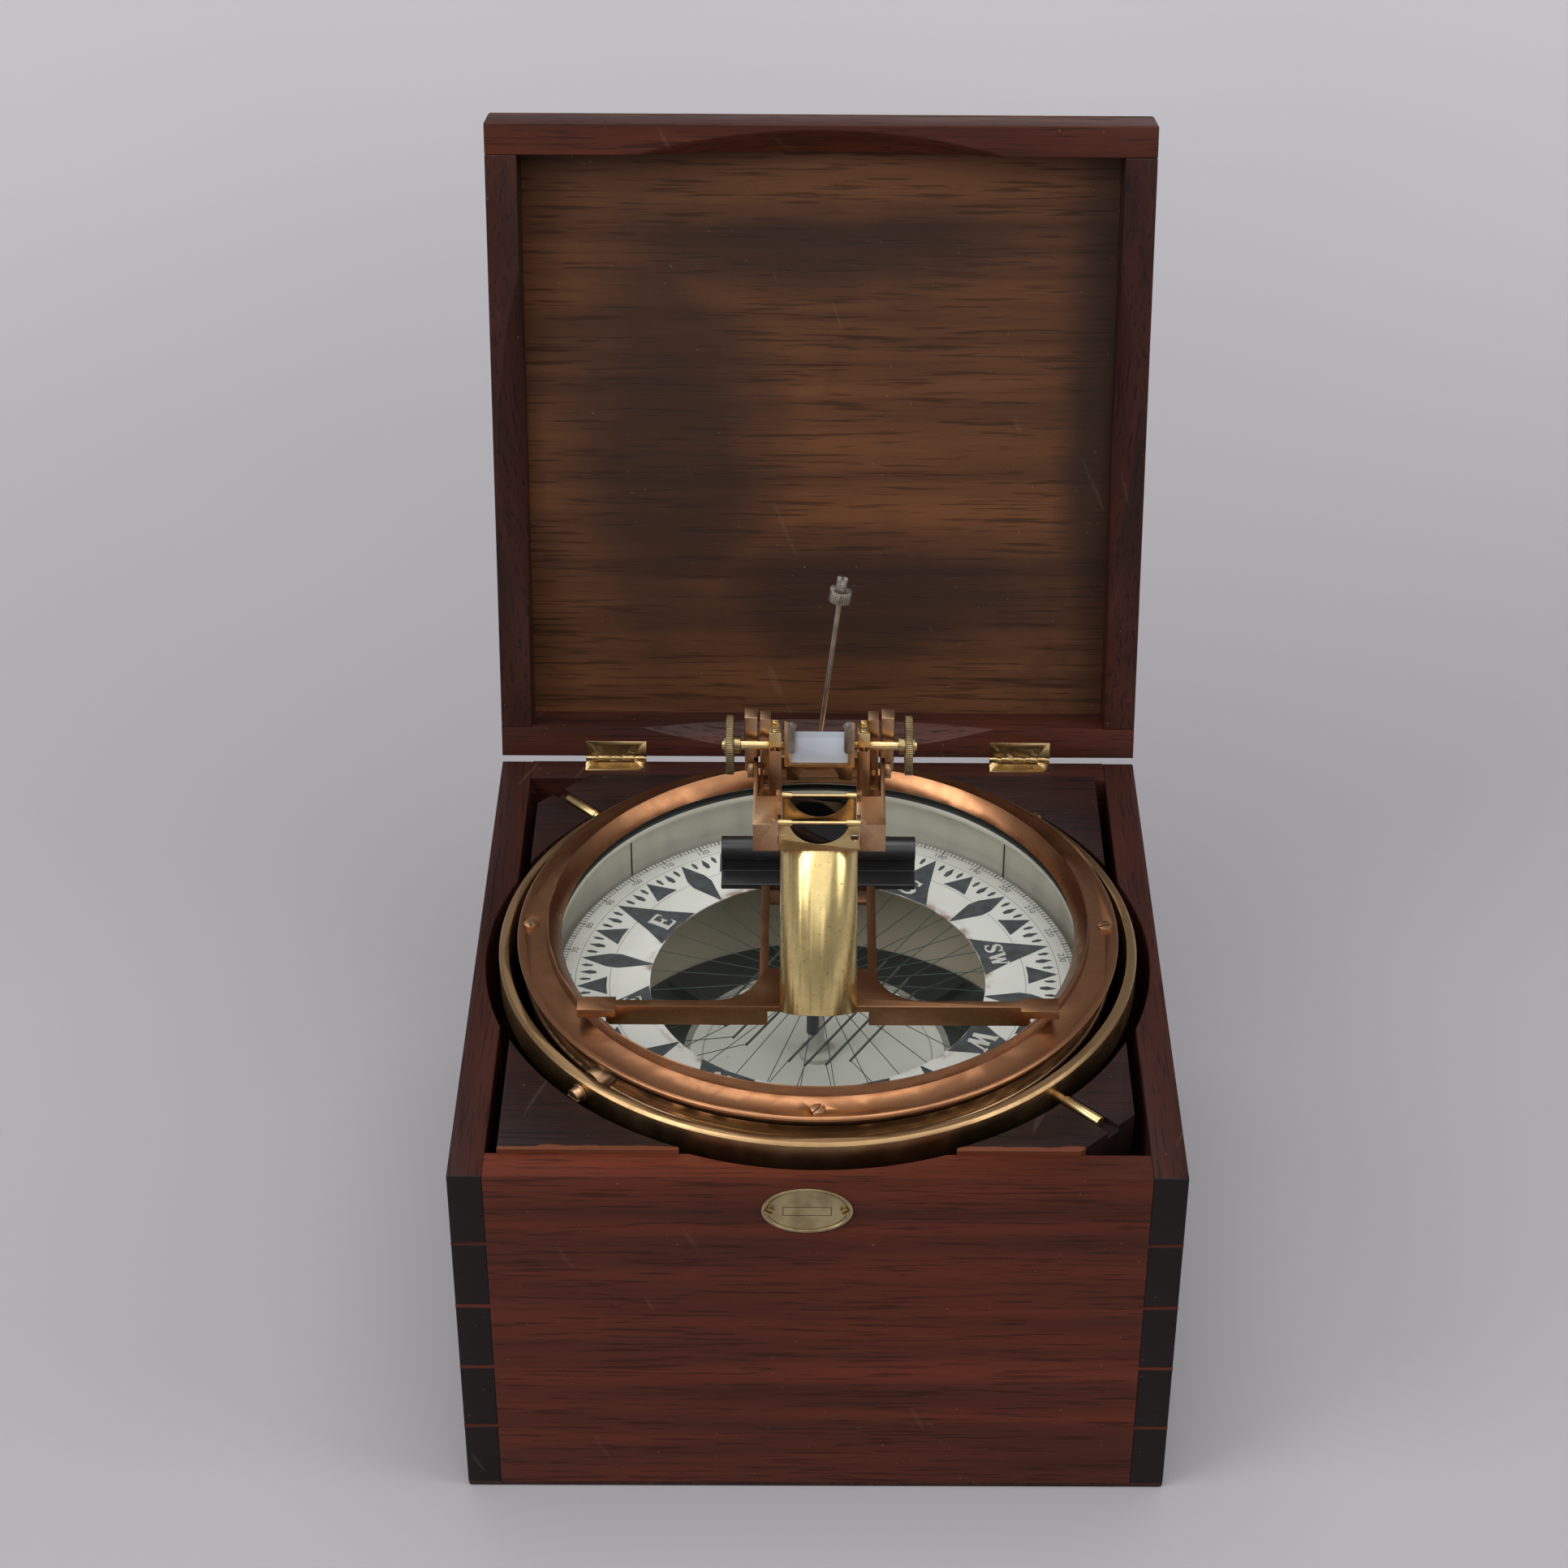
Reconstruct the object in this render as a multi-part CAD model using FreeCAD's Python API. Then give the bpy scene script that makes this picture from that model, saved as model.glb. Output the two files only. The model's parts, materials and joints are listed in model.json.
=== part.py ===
# Azimuth compass: a gimballed bowl compass in a wooden case, with an azimuth instrument on its bezel.
# Millimetres, +Z up, +Y towards the lid's hinges, origin at the centre of the case's underside.
import FreeCAD, Part
import math
import os

os.makedirs("parts", exist_ok=True)
V = FreeCAD.Vector

# Case
case_side = 330.0
case_height = 193.4
wall = 15.8
base_lip = 3.0
base_thickness = 9.0
swing_recess = 10.8
pin_count = 4
first_pin_height = 39.5
pin_pitch = 38.0
pin_width_outside = 1.8
pin_width_inside = 5.4
block_leg = 81.5
block_side_gap = 5.5
block_rise = 2.4
block_height = 42.0
block_corner_cut = 26.0
slot_width = 7.4

# Name plate
plate_length = 41.0
plate_height = 25.6
plate_thickness = 1.2
plate_rim = 1.2
plate_offset = -4.7
plate_centre_drop = 18.7
plate_screw_offset = 17.0
plate_screw_radius = 1.9

# Lid
lid_depth = 28.5
panel_thickness = 4.5
lid_open = 103.0
lid_seam = 0.3
lid_scoop_half_chord = 92.0
lid_scoop_depth = 13.0
lid_scoop_taper = 14.0

# Hinges
hinge_offset = 105.5
hinge_width = 31.5
hinge_axis_back = 1.5
hinge_axis_rise = 1.2
knuckle_radius = 1.6
knuckle_count = 5
knuckle_gap = 0.2
knuckle_room = 0.3
hinge_pin_radius = 0.8
leaf_thickness = 1.0
leaf_reach = 9.7
leaf_screw_offset = 9.0
leaf_screw_inset = 4.5
leaf_screw_head = 1.9
leaf_screw_shank = 0.9
leaf_screw_length = 8.0

# Gimbals
gimbal_rise = 1.6
ring_gap = 6.65
ring_thickness = 4.75
ring_height = 16.3
ring_top_rise = 7.6
ring_chamfer = 1.4
ring_pin_radius = 2.6
ring_pin_neck_radius = 2.0
ring_pin_inset = 1.0
ring_pin_neck_gap = 0.2
ring_pin_reach = 21.0
pivot_radius = 2.5
pivot_tip_gap = 3.0
pivot_collar_radius = 4.5
pivot_collar_thickness = 1.2
pivot_head_radius = 3.6
pivot_head_length = 4.95
screw_slot_width = 0.9
screw_slot_depth = 1.0
running_fit = 0.05

# Bowl, with heights from the bezel's datum plane
bezel_rise = 13.6
bezel_gap = 4.35
bowl_inset = 6.25
bowl_wall = 4.0
bowl_flange_inset = 2.75
bowl_flange_top = -2.15
bowl_flange_thickness = 3.25
bead_inset = 2.25
bead_top = -12.6
bead_height = 3.0
bowl_swing_gap = 3.6
bowl_depth = 90.0
bowl_floor_thickness = 6.5
window_radius = 66.0
window_wall = 4.0
window_rise = 23.0
window_glass = 3.0
window_ring_width = 3.0
window_ring_thickness = 0.8
boss_radius = 7.0
boss_gap = 2.1

# Bezel and top glass
sight_inset = 21.25
sight_height = 0.2
crest_offset = 6.0
crest_width = 0.7
crest_height = 7.6
bezel_dip_offset = 1.4
bezel_dip_height = 2.6
bezel_land_offset = 8.4
bezel_land_height = 1.15
glass_lap = 5.0
glass_thickness = 4.0
glass_room = 0.2
seal_width = 3.5
seal_thickness = 1.5
bezel_screw_offset = 0.6
bezel_screw_radius = 3.4
bezel_screw_shank = 1.5
bezel_screw_rise = 1.1
bezel_screw_sink = 1.2
lubber_width = 0.8
lubber_depth = 0.3
lubber_top = -12.0
lubber_length = 26.0

# Ballast
ballast_gap = 9.0
ballast_edge_gap = 13.7
ballast_height = 12.0
trim_edge_gap = 5.6
trim_height = 6.0
trim_half_angle = 45.0

# Card
card_drop = 31.9
card_gap = 6.8
card_width = 45.7
card_thickness = 0.6
rim_width = 2.0
rim_height = 2.5
north_bearing = -148.9
thread_count = 32
thread_radius = 0.2
hub_radius = 8.0
hub_thickness = 1.6
jewel_radius = 3.0
jewel_height = 6.2
needle_drop = 13.1
needle_radius = 0.6
needle_pitch = 8.3
needle_gap = 11.9
needle_half_lengths = (46.5, 45.2, 39.5, 31.0)
thread_anchor_inset = 2.5
post_radius = 3.5
post_shank = 3.0
post_foot_radius = 9.0
post_foot_height = 2.5
nut_radius = 7.0
nut_height = 4.0
point_radius = 1.0
point_rise = 4.3
point_length = 13.0
point_cone = 3.0

# Azimuth instrument, with heights from the bezel's datum plane
seat_gap = 0.1
sight_gap = 0.4
bar_front = -77.0
bar_depth = 4.6
bar_end_gap = 5.5
bar_bottom = 1.2
frame_top = 12.0
frame_bottom = 6.0
tab_lap = 7.5
tab_front_lap = 3.0
tab_back_lap = 7.0
arm_centre = 25.4
arm_width = 4.0
arm_lap = 2.0
arm_fillet = 22.0
milled_top = 8.0
milled_front = 18.0
milled_back = 50.0
web_front = 10.0
web_back = 30.0
collar_plate_under = 9.0
collar_plate_back = -48.0
rear_plate_depth = 19.0
rear_plate_under = 8.6
grip_half_length = 47.0
grip_front = 20.0
grip_back = 48.0
grip_flange = 3.0
grip_neck = 5.0
grip_bulb_radius = 6.0
grip_bulb_height = 22.5
tube_foot_lead = 1.6
tube_foot_height = 10.9
tube_lean = 30.0
tube_radius = 17.75
tube_wall = 1.5
tube_length = 75.7
lens_start = 3.0
lens_thickness = 4.5
lens_ring_width = 3.0
index_radius = 2.8
index_lead = 12.4
index_offset = -2.5
index_bottom = 8.6
head_half_width = 30.0
head_plate = 3.5
head_front = -58.1
head_top = 101.0
head_back = -2.0
cheek_thickness = 1.8
cheek_back_top = 107.0
cheek_back_bottom = 90.0
block_inner = 18.8
block_depth = 12.0
shelf_inner = 17.1
shelf_back = -35.4
shelf_thickness = 2.4
sill_under = 86.0
sill_top = 90.0
sill_front = -27.0
pillar_inner = 17.4
pillar_width = 5.6
spindle_back = -17.4
spindle_height = 117.0
spindle_radius = 2.15
spindle_end = 44.5
bearing_half_depth = 5.0
bearing_split = 0.1
cap_gap = 2.2
cap_height = 7.6
cap_screw_radius = 0.9
cap_screw_head = 1.4
cap_screw_rise = 1.0
cap_screw_depth = 8.0
cap_screw_inset = 1.3
upright_inner = 22.3
upright_width = 4.9
upright_front = -12.2
upright_back = -5.0
upright_top = 127.6
socket_bar_under = 95.0
socket_bar_top = 102.0
socket_bar_back = 7.0
window_sill = 91.5
window_head = 103.5
window_side = 1.2
arm_boss_radius = 4.85
arm_boss_back = -10.0
arm_boss_height = 99.7
arm_boss_thickness = 3.1
sight_arm_outer = 34.3
sight_arm_inner = 28.3
sight_arm_front = -13.0
sight_arm_top = 129.0
sight_arm_foot = 94.0
knob_radius = 13.7
knob_inner = 39.1
knob_thickness = 3.4
knob_hub_radius = 4.0
knob_hub_inner = 36.0
knob_hub_outer = 43.6
prism_half_width = 15.9
prism_wall = 1.5
prism_front = -30.0
prism_back = -10.0
prism_box_bottom = 113.4
prism_box_top = 137.5
prism_lip = 1.45
prism_lip_depth = 1.1
prism_size = 17.1
skirt_half_width = 15.0
skirt_bottom = 105.2
skirt_arch = 9.0
prism_cover = 3.0
ear_bottom = 120.7
ear_half_width = 1.6
ear_radius = 2.3
ear_lap = 0.6
ear_screw_head = 1.8
ear_screw_rise = 0.6
ear_screw_shank = 0.8
shade_half_width = 18.5
shade_plate = 1.6
shade_drop = 14.1
shade_glass_half_chord = 13.4
shade_glass_depth = 10.3
shade_glass_gap = 0.15
shade_back_gap = 0.4
front_shade_back = -56.9
front_shade_height = 101.3
rear_shade_back = -38.0
rear_shade_height = 103.2
shade_side_gap = 0.3
shade_knuckle_radius = 1.5
shade_screw_offset = 16.0
shade_screw_drop = 7.6
shade_screw_head = 1.8
shade_screw_shank = 0.8
shade_screw_rise = 0.4
shade_knuckle_inner = 12.3
shade_pin_radius = 0.8
shade_pin_grip = 2.2
lug_width = 2.4
lug_half_depth = 1.8
lug_rise = 1.9
pin_radius = 1.2
pin_back = 2.0
pin_lean = 6.5
pin_x = -0.5
pin_stop = 1.5
pin_cap_start = 81.3
pin_cap_end = 92.9
pin_cap_radius = 5.0
pin_cap_hub = 2.4


def box(x0, x1, y0, y1, z0, z1):
    """Box between two x, two y and two z values."""
    return Part.makeBox(x1 - x0, y1 - y0, z1 - z0, V(x0, y0, z0))


def turned(profile):
    """Solid of revolution about Z from (radius, height) points; a middle point in a triple is on an arc."""
    edges = []
    start = V(profile[0][0], 0, profile[0][1])
    first = start
    for step in profile[1:]:
        if len(step) == 4:
            middle = V(step[0], 0, step[1])
            end = V(step[2], 0, step[3])
            edges.append(Part.Arc(start, middle, end).toShape())
        else:
            end = V(step[0], 0, step[1])
            edges.append(Part.LineSegment(start, end).toShape())
        start = end
    edges.append(Part.LineSegment(start, first).toShape())
    return Part.Face(Part.Wire(edges)).revolve(V(0, 0, 0), V(0, 0, 1), 360)


def slab(points, x0, x1):
    """Prism along X from (y, z) points."""
    corners = [V(x0, y, z) for y, z in points]
    return Part.Face(Part.makePolygon(corners + corners[:1])).extrude(V(x1 - x0, 0, 0))


def plate(points, z0, z1):
    """Prism along Z from (x, y) points."""
    corners = [V(x, y, z0) for x, y in points]
    return Part.Face(Part.makePolygon(corners + corners[:1])).extrude(V(0, 0, z1 - z0))


def rod(radius, start, end):
    """Round bar from one point to another."""
    return Part.makeCylinder(radius, (end - start).Length, start, end - start)


def x_rod(radius, x0, x1, y, z):
    """Round bar along X."""
    return rod(radius, V(x0, y, z), V(x1, y, z))


def joined(shapes):
    """One solid from shapes that touch or overlap."""
    whole = shapes[0].multiFuse(shapes[1:]) if len(shapes) > 1 else shapes[0]
    return whole.removeSplitter()


def mirrored(shape):
    """The shape's mirror image across the plane x = 0."""
    return shape.mirror(V(0, 0, 0), V(1, 0, 0))


def both_sides(shape):
    """A shape and its mirror image across x = 0, as a list."""
    return [shape, mirrored(shape)]


def turned_about_z(shape, degrees):
    """A copy turned about the bowl's axis."""
    copy = shape.copy()
    copy.rotate(V(0, 0, 0), V(0, 0, 1), degrees)
    return copy


def save(name, pieces):
    """Write one node's solids."""
    solids = []
    for piece in pieces:
        solids.extend(piece.Solids)
    shape = solids[0] if len(solids) == 1 else Part.makeCompound(solids)
    shape.exportStep("parts/" + name + ".step")


def slotted(radius, height, shank, length, tilt=0.0):
    """Cheese-head screw on the Z axis: underside of the head at z = 0, shank below."""
    head = Part.makeCylinder(radius, height)
    slot = box(-radius, radius, -screw_slot_width / 2, screw_slot_width / 2, height - screw_slot_depth, height)
    slot.rotate(V(0, 0, 0), V(0, 0, 1), tilt)
    return joined([head.cut(slot), Part.makeCylinder(shank, length, V(0, 0, -length))])


# Places that follow from the sizes above
half = case_side / 2
inside = half - wall
swing_radius = inside + swing_recess
gimbal_height = case_height + gimbal_rise
ring_outer = swing_radius - ring_gap
ring_inner = ring_outer - ring_thickness
ring_pin_neck_end = swing_radius - ring_pin_neck_gap
ring_pin_end = swing_radius + ring_pin_reach
pivot_head_end = ring_outer + pivot_head_length
bezel_height = gimbal_height + bezel_rise
bezel_edge_radius = ring_inner - bezel_gap
bowl_outer = bezel_edge_radius - bowl_inset
bowl_inner = bowl_outer - bowl_wall
bowl_flange = bezel_edge_radius - bowl_flange_inset
bead_radius = bezel_edge_radius - bead_inset
bowl_swing_radius = ring_inner - bowl_swing_gap
bowl_underside = gimbal_height - bowl_depth
pivot_tip = bowl_outer + pivot_tip_gap
boss_end = ring_inner - boss_gap
window_height = bowl_underside + window_rise
sight_radius = bezel_edge_radius - sight_inset
crest_radius = sight_radius + crest_offset
bezel_dip_radius = crest_radius + bezel_dip_offset
bezel_land_radius = crest_radius + bezel_land_offset
bezel_screw_circle = bezel_land_radius + bezel_screw_offset
glass_radius = sight_radius + glass_lap
ballast_inner = window_radius + ballast_gap
card_top = bezel_height - card_drop
card_outer = bowl_inner - card_gap
card_inner = card_outer - card_width
thread_anchor = card_inner + thread_anchor_inset
point_tip = card_top + point_rise
post_top = point_tip - point_length
foot_reach = math.sqrt(crest_radius ** 2 - bar_front ** 2)
bar_half_length = foot_reach - bar_end_gap
tab_end = foot_reach + tab_lap
tab_front = bar_front - tab_front_lap
tab_back = bar_front + tab_back_lap
arm_end = crest_radius + arm_lap
rear_plate_front = arm_end - rear_plate_depth
tube_foot_back = bar_front - tube_foot_lead
index_back = tube_foot_back - index_lead
plate_centre_height = case_height - plate_centre_drop
swing_centre = V(0, 0, gimbal_height)
swing_room = Part.makeSphere(swing_radius, swing_centre)
right_front = V(math.sqrt(0.5), -math.sqrt(0.5), 0)
left_front = V(-math.sqrt(0.5), -math.sqrt(0.5), 0)


# Case boards: front and back carry slim pins, the sides carry wide tails
def pin_row(sign):
    """Slim pins of the front or back board at the right-hand corner; sign is -1 in front, +1 behind."""
    pins = []
    for index in range(pin_count):
        z = first_pin_height + index * pin_pitch
        outside_face = sign * half
        inside_face = sign * inside
        corners = [(outside_face, z - pin_width_outside / 2), (outside_face, z + pin_width_outside / 2),
                   (inside_face, z + pin_width_inside / 2), (inside_face, z - pin_width_inside / 2)]
        pins.append(slab(corners, inside, half))
    return pins


def end_board(sign):
    """Front or back board with its pins."""
    y0, y1 = sorted((sign * half, sign * inside))
    pins = pin_row(sign)
    return joined([box(-inside, inside, y0, y1, base_lip, case_height)] + pins + [mirrored(p) for p in pins])


case_front = end_board(-1)
case_back = end_board(1)
case_right = box(inside, half, -half, half, base_lip, case_height)
for pin in pin_row(-1) + pin_row(1):
    case_right = case_right.cut(pin)
case_left = mirrored(case_right)
case_base = joined([box(-half, half, -half, half, 0, base_lip),
                    box(-inside, inside, -inside, inside, base_lip, base_thickness)])
case_front, case_back, case_left, case_right = [
    board.cut(swing_room) for board in (case_front, case_back, case_left, case_right)]

# Gimbal pins, which the slots of two corner blocks carry
ring_pins = []
for direction in (right_front, right_front * -1):
    neck = rod(ring_pin_neck_radius, swing_centre + direction * (ring_inner + ring_pin_inset),
               swing_centre + direction * ring_pin_neck_end)
    journal = rod(ring_pin_radius, swing_centre + direction * ring_pin_neck_end,
                  swing_centre + direction * ring_pin_end)
    ring_pins.append(joined([neck, journal]))

# Corner blocks
block_top = case_height + block_rise
block_side = inside - block_side_gap


def corner_block(slotted_block):
    """Block of the front right corner, hollowed to the swing of the ring."""
    block = box(block_side - block_leg, block_side, -inside, -inside + block_leg,
                block_top - block_height, block_top)
    block = block.cut(swing_room)
    if slotted_block:
        floor = gimbal_height - ring_pin_radius - running_fit
        slot = box(0, case_side, -slot_width / 2, slot_width / 2, floor, block_top)
        slot.rotate(V(0, 0, 0), V(0, 0, 1), -45)
        corner = plate([(block_side - block_corner_cut, -inside), (block_side, -inside),
                        (block_side, -inside + block_corner_cut)], block_top - block_height, block_top)
        block = block.cut(slot).cut(corner)
    return block


block_front_right = corner_block(True)
block_back_left = turned_about_z(block_front_right, 180)
block_front_left = mirrored(corner_block(False))
block_back_right = turned_about_z(block_front_left, 180)

# Name plate, left bare
def oval(length, height, y0, y1):
    """Ellipse seen from the front, between two y values."""
    curve = Part.Ellipse(V(0, 0, 0), length / 2, height / 2).toShape()
    solid = Part.Face(Part.Wire([curve])).extrude(V(0, 0, y1 - y0))
    solid.rotate(V(0, 0, 0), V(1, 0, 0), 90)
    solid.translate(V(plate_offset, y1, plate_centre_height))
    return solid


plate_back = -half
plate_front = plate_back - plate_thickness
plate_field = oval(plate_length - 2 * plate_rim, plate_height - 2 * plate_rim,
                   plate_front, plate_front + plate_thickness / 2)
name_plate = oval(plate_length, plate_height, plate_front, plate_back).cut(plate_field)
plate_screws = []
for side in (-1, 1):
    screw = slotted(plate_screw_radius, plate_thickness, plate_screw_radius / 2, wall / 3, 30 * side)
    screw.rotate(V(0, 0, 0), V(1, 0, 0), 90)
    screw.translate(V(plate_offset + side * plate_screw_offset, plate_front + plate_thickness / 2,
                      plate_centre_height))
    plate_screws.append(screw)
    name_plate = name_plate.cut(screw)
    case_front = case_front.cut(screw)

# Hinges, drawn closed; the lid and its leaves then turn open
hinge_y = half + hinge_axis_back
hinge_z = case_height + hinge_axis_rise
lid_rim = case_height + lid_seam
knuckle_length = hinge_width / knuckle_count


def hinge_leaf(z0, first_knuckle):
    """Leaf of the right-hand hinge with every second knuckle, and its two screws."""
    x0 = hinge_offset - hinge_width / 2
    leaf = box(x0, x0 + hinge_width, hinge_y - leaf_reach, hinge_y, z0, z0 + leaf_thickness)
    barrels = []
    for index in range(knuckle_count):
        start = x0 + index * knuckle_length
        if index % 2 == first_knuckle:
            low = start + (knuckle_gap / 2 if index > 0 else 0)
            high = start + knuckle_length - (knuckle_gap / 2 if index < knuckle_count - 1 else 0)
            barrels.append(x_rod(knuckle_radius, low, high, hinge_y, hinge_z))
        else:
            room = x_rod(knuckle_radius + knuckle_room, start - knuckle_gap / 2,
                         start + knuckle_length + knuckle_gap / 2, hinge_y, hinge_z)
            leaf = leaf.cut(room)
    bore = x_rod(hinge_pin_radius + (running_fit if first_knuckle else 0), x0, x0 + hinge_width,
                 hinge_y, hinge_z)
    return joined([leaf] + barrels).cut(bore)


def leaf_screws(z_face, down):
    """The two countersunk screws of the right-hand leaf; down is -1 into the case, +1 into the lid."""
    screws = []
    for side in (-1, 1):
        place = V(hinge_offset + side * leaf_screw_offset, hinge_y - leaf_reach + leaf_screw_inset, z_face)
        axis = V(0, 0, down)
        head = Part.makeCone(leaf_screw_head, leaf_screw_shank, leaf_thickness, place, axis)
        shank = Part.makeCylinder(leaf_screw_shank, leaf_screw_length, place, axis)
        screws.append(joined([head, shank]))
    return screws


case_leaf = hinge_leaf(case_height - leaf_thickness, 0)
lid_leaf = hinge_leaf(lid_rim, 1)
case_leaf_screws = leaf_screws(case_height, -1)
lid_leaf_screws = leaf_screws(lid_rim, 1)
for screw in case_leaf_screws:
    case_leaf = case_leaf.cut(screw)
for screw in lid_leaf_screws:
    lid_leaf = lid_leaf.cut(screw)
hinge_pin = x_rod(hinge_pin_radius, hinge_offset - hinge_width / 2, hinge_offset + hinge_width / 2,
                  hinge_y, hinge_z)
knuckle_trough = x_rod(knuckle_radius + knuckle_room, hinge_offset - hinge_width / 2,
                       hinge_offset + hinge_width / 2, hinge_y, hinge_z)
for piece in both_sides(case_leaf) + both_sides(knuckle_trough):
    case_back = case_back.cut(piece)
for screw in case_leaf_screws + [mirrored(s) for s in case_leaf_screws]:
    case_back = case_back.cut(screw)

# Lid
panel_under = lid_rim + lid_depth - panel_thickness


def lid_scoop():
    """Shallow hollow along the front rail's inner edge, widest at the rim."""
    radius = (lid_scoop_half_chord ** 2 + lid_scoop_depth ** 2) / (2 * lid_scoop_depth)
    centre = inside + lid_scoop_depth - radius
    cone = Part.makeCone(radius, radius - lid_scoop_depth, lid_scoop_taper, V(0, -centre, lid_rim))
    return cone.common(box(-half, half, -half, -inside, lid_rim, panel_under))


lid_front_rail = box(-half, half, -half, -inside, lid_rim, panel_under).cut(lid_scoop())
lid_back_rail = turned_about_z(lid_front_rail, 180)
lid_right_rail = box(inside, half, -inside, inside, lid_rim, panel_under).cut(turned_about_z(lid_scoop(), 90))
lid_left_rail = mirrored(lid_right_rail)
lid_panel = box(-half, half, -half, half, panel_under, lid_rim + lid_depth)
for piece in both_sides(lid_leaf) + both_sides(knuckle_trough):
    lid_back_rail = lid_back_rail.cut(piece)
for screw in lid_leaf_screws + [mirrored(s) for s in lid_leaf_screws]:
    lid_back_rail = lid_back_rail.cut(screw)


def opened(shape):
    """A lid piece turned open about the hinge axis."""
    copy = shape.copy()
    copy.rotate(V(0, hinge_y, hinge_z), V(1, 0, 0), -lid_open)
    return copy


save("case_front", [case_front])
save("case_back", [case_back])
save("case_left", [case_left])
save("case_right", [case_right])
save("case_base", [case_base])
save("block_front_left", [block_front_left])
save("block_front_right", [block_front_right])
save("block_back_left", [block_back_left])
save("block_back_right", [block_back_right])
save("name_plate", [name_plate])
save("case_hinge_leaves", both_sides(case_leaf))
save("case_screws", plate_screws + case_leaf_screws + [mirrored(s) for s in case_leaf_screws])
save("hinge_pins", both_sides(hinge_pin))
save("lid_hinge_leaves", [opened(s) for s in both_sides(lid_leaf)])
save("lid_hinge_screws", [opened(s) for s in lid_leaf_screws + [mirrored(s) for s in lid_leaf_screws]])
save("lid_front_rail", [opened(lid_front_rail)])
save("lid_back_rail", [opened(lid_back_rail)])
save("lid_left_rail", [opened(lid_left_rail)])
save("lid_right_rail", [opened(lid_right_rail)])
save("lid_panel", [opened(lid_panel)])


# Gimbal ring
ring_top = gimbal_height + ring_top_rise
ring_bottom = ring_top - ring_height
gimbal_ring = turned([(ring_inner, ring_bottom), (ring_outer, ring_bottom), (ring_outer, ring_top - ring_chamfer),
                      (ring_outer - ring_chamfer, ring_top), (ring_inner, ring_top)])
pivot_screws = []
for direction in (left_front, left_front * -1):
    ring_face = swing_centre + direction * ring_outer
    collar_face = ring_face + direction * pivot_collar_thickness
    shank = rod(pivot_radius, swing_centre + direction * pivot_tip, ring_face)
    collar = rod(pivot_collar_radius, ring_face, collar_face)
    head = rod(pivot_head_radius, collar_face, swing_centre + direction * pivot_head_end)
    slot = box(pivot_head_end - screw_slot_depth, pivot_head_end, -pivot_head_radius, pivot_head_radius,
               -screw_slot_width / 2, screw_slot_width / 2)
    slot.rotate(V(0, 0, 0), V(0, 0, 1), math.degrees(math.atan2(direction.y, direction.x)))
    slot.translate(swing_centre)
    pivot_screws.append(joined([shank, collar, head]).cut(slot))
for piece in pivot_screws + ring_pins:
    gimbal_ring = gimbal_ring.cut(piece)
for direction in (left_front, left_front * -1):
    start = swing_centre + direction * ring_outer
    gimbal_ring = gimbal_ring.cut(rod(pivot_collar_radius, start, start + direction * pivot_collar_thickness))

# Bowl body: straight wall above, rounded below to the swing of the gimbals
def bowl_arc_radius(sphere, z):
    """Radius at height z of a sphere about the gimbal centre."""
    return math.sqrt(sphere ** 2 - (z - gimbal_height) ** 2)


def arc_step(sphere, z0, z1):
    """Profile step along a sphere about the gimbal centre, from height z0 to z1."""
    middle = (z0 + z1) / 2
    return (bowl_arc_radius(sphere, middle), middle, bowl_arc_radius(sphere, z1), z1)


def local(z):
    """World height of a height above the bezel's datum plane."""
    return bezel_height + z


inner_sphere = bowl_swing_radius - bowl_wall
shoulder_out = gimbal_height - math.sqrt(bowl_swing_radius ** 2 - bowl_outer ** 2)
shoulder_in = gimbal_height - math.sqrt(inner_sphere ** 2 - bowl_inner ** 2)
floor_top = bowl_underside + bowl_floor_thickness
flange_top = local(bowl_flange_top)
flange_under = flange_top - bowl_flange_thickness
bead_high = local(bead_top)
bead_low = bead_high - bead_height
glass_top = local(sight_height)
glass_under = glass_top - glass_thickness
seal_under = glass_under - seal_thickness
lip_inner = glass_radius - seal_width
lip_under = seal_under - bowl_flange_thickness
window_inner = window_radius - window_wall
bead_edge = bead_height / 2
bowl_body = turned([
    (bowl_flange, flange_top), (bowl_flange, flange_under), (bowl_outer, flange_under),
    (bowl_outer, bead_high), (bead_radius - bead_edge, bead_high),
    (bead_radius, bead_high - bead_edge, bead_radius - bead_edge, bead_low),
    (bowl_outer, bead_low), (bowl_outer, shoulder_out),
    arc_step(bowl_swing_radius, shoulder_out, bowl_underside),
    (window_inner, bowl_underside), (window_inner, window_height), (window_radius, window_height),
    (window_radius, floor_top), (bowl_arc_radius(inner_sphere, floor_top), floor_top),
    arc_step(inner_sphere, floor_top, shoulder_in),
    (bowl_inner, lip_under), (lip_inner, lip_under), (lip_inner, seal_under),
    (glass_radius + glass_room, seal_under), (glass_radius + glass_room, flange_top)])
for direction in (left_front, left_front * -1):
    boss = rod(boss_radius, swing_centre + direction * (bowl_inner + bowl_wall / 2),
               swing_centre + direction * boss_end)
    bore = rod(pivot_radius + running_fit, swing_centre + direction * (pivot_tip - running_fit),
               swing_centre + direction * boss_end)
    bowl_body = joined([bowl_body, boss]).cut(bore)

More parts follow.
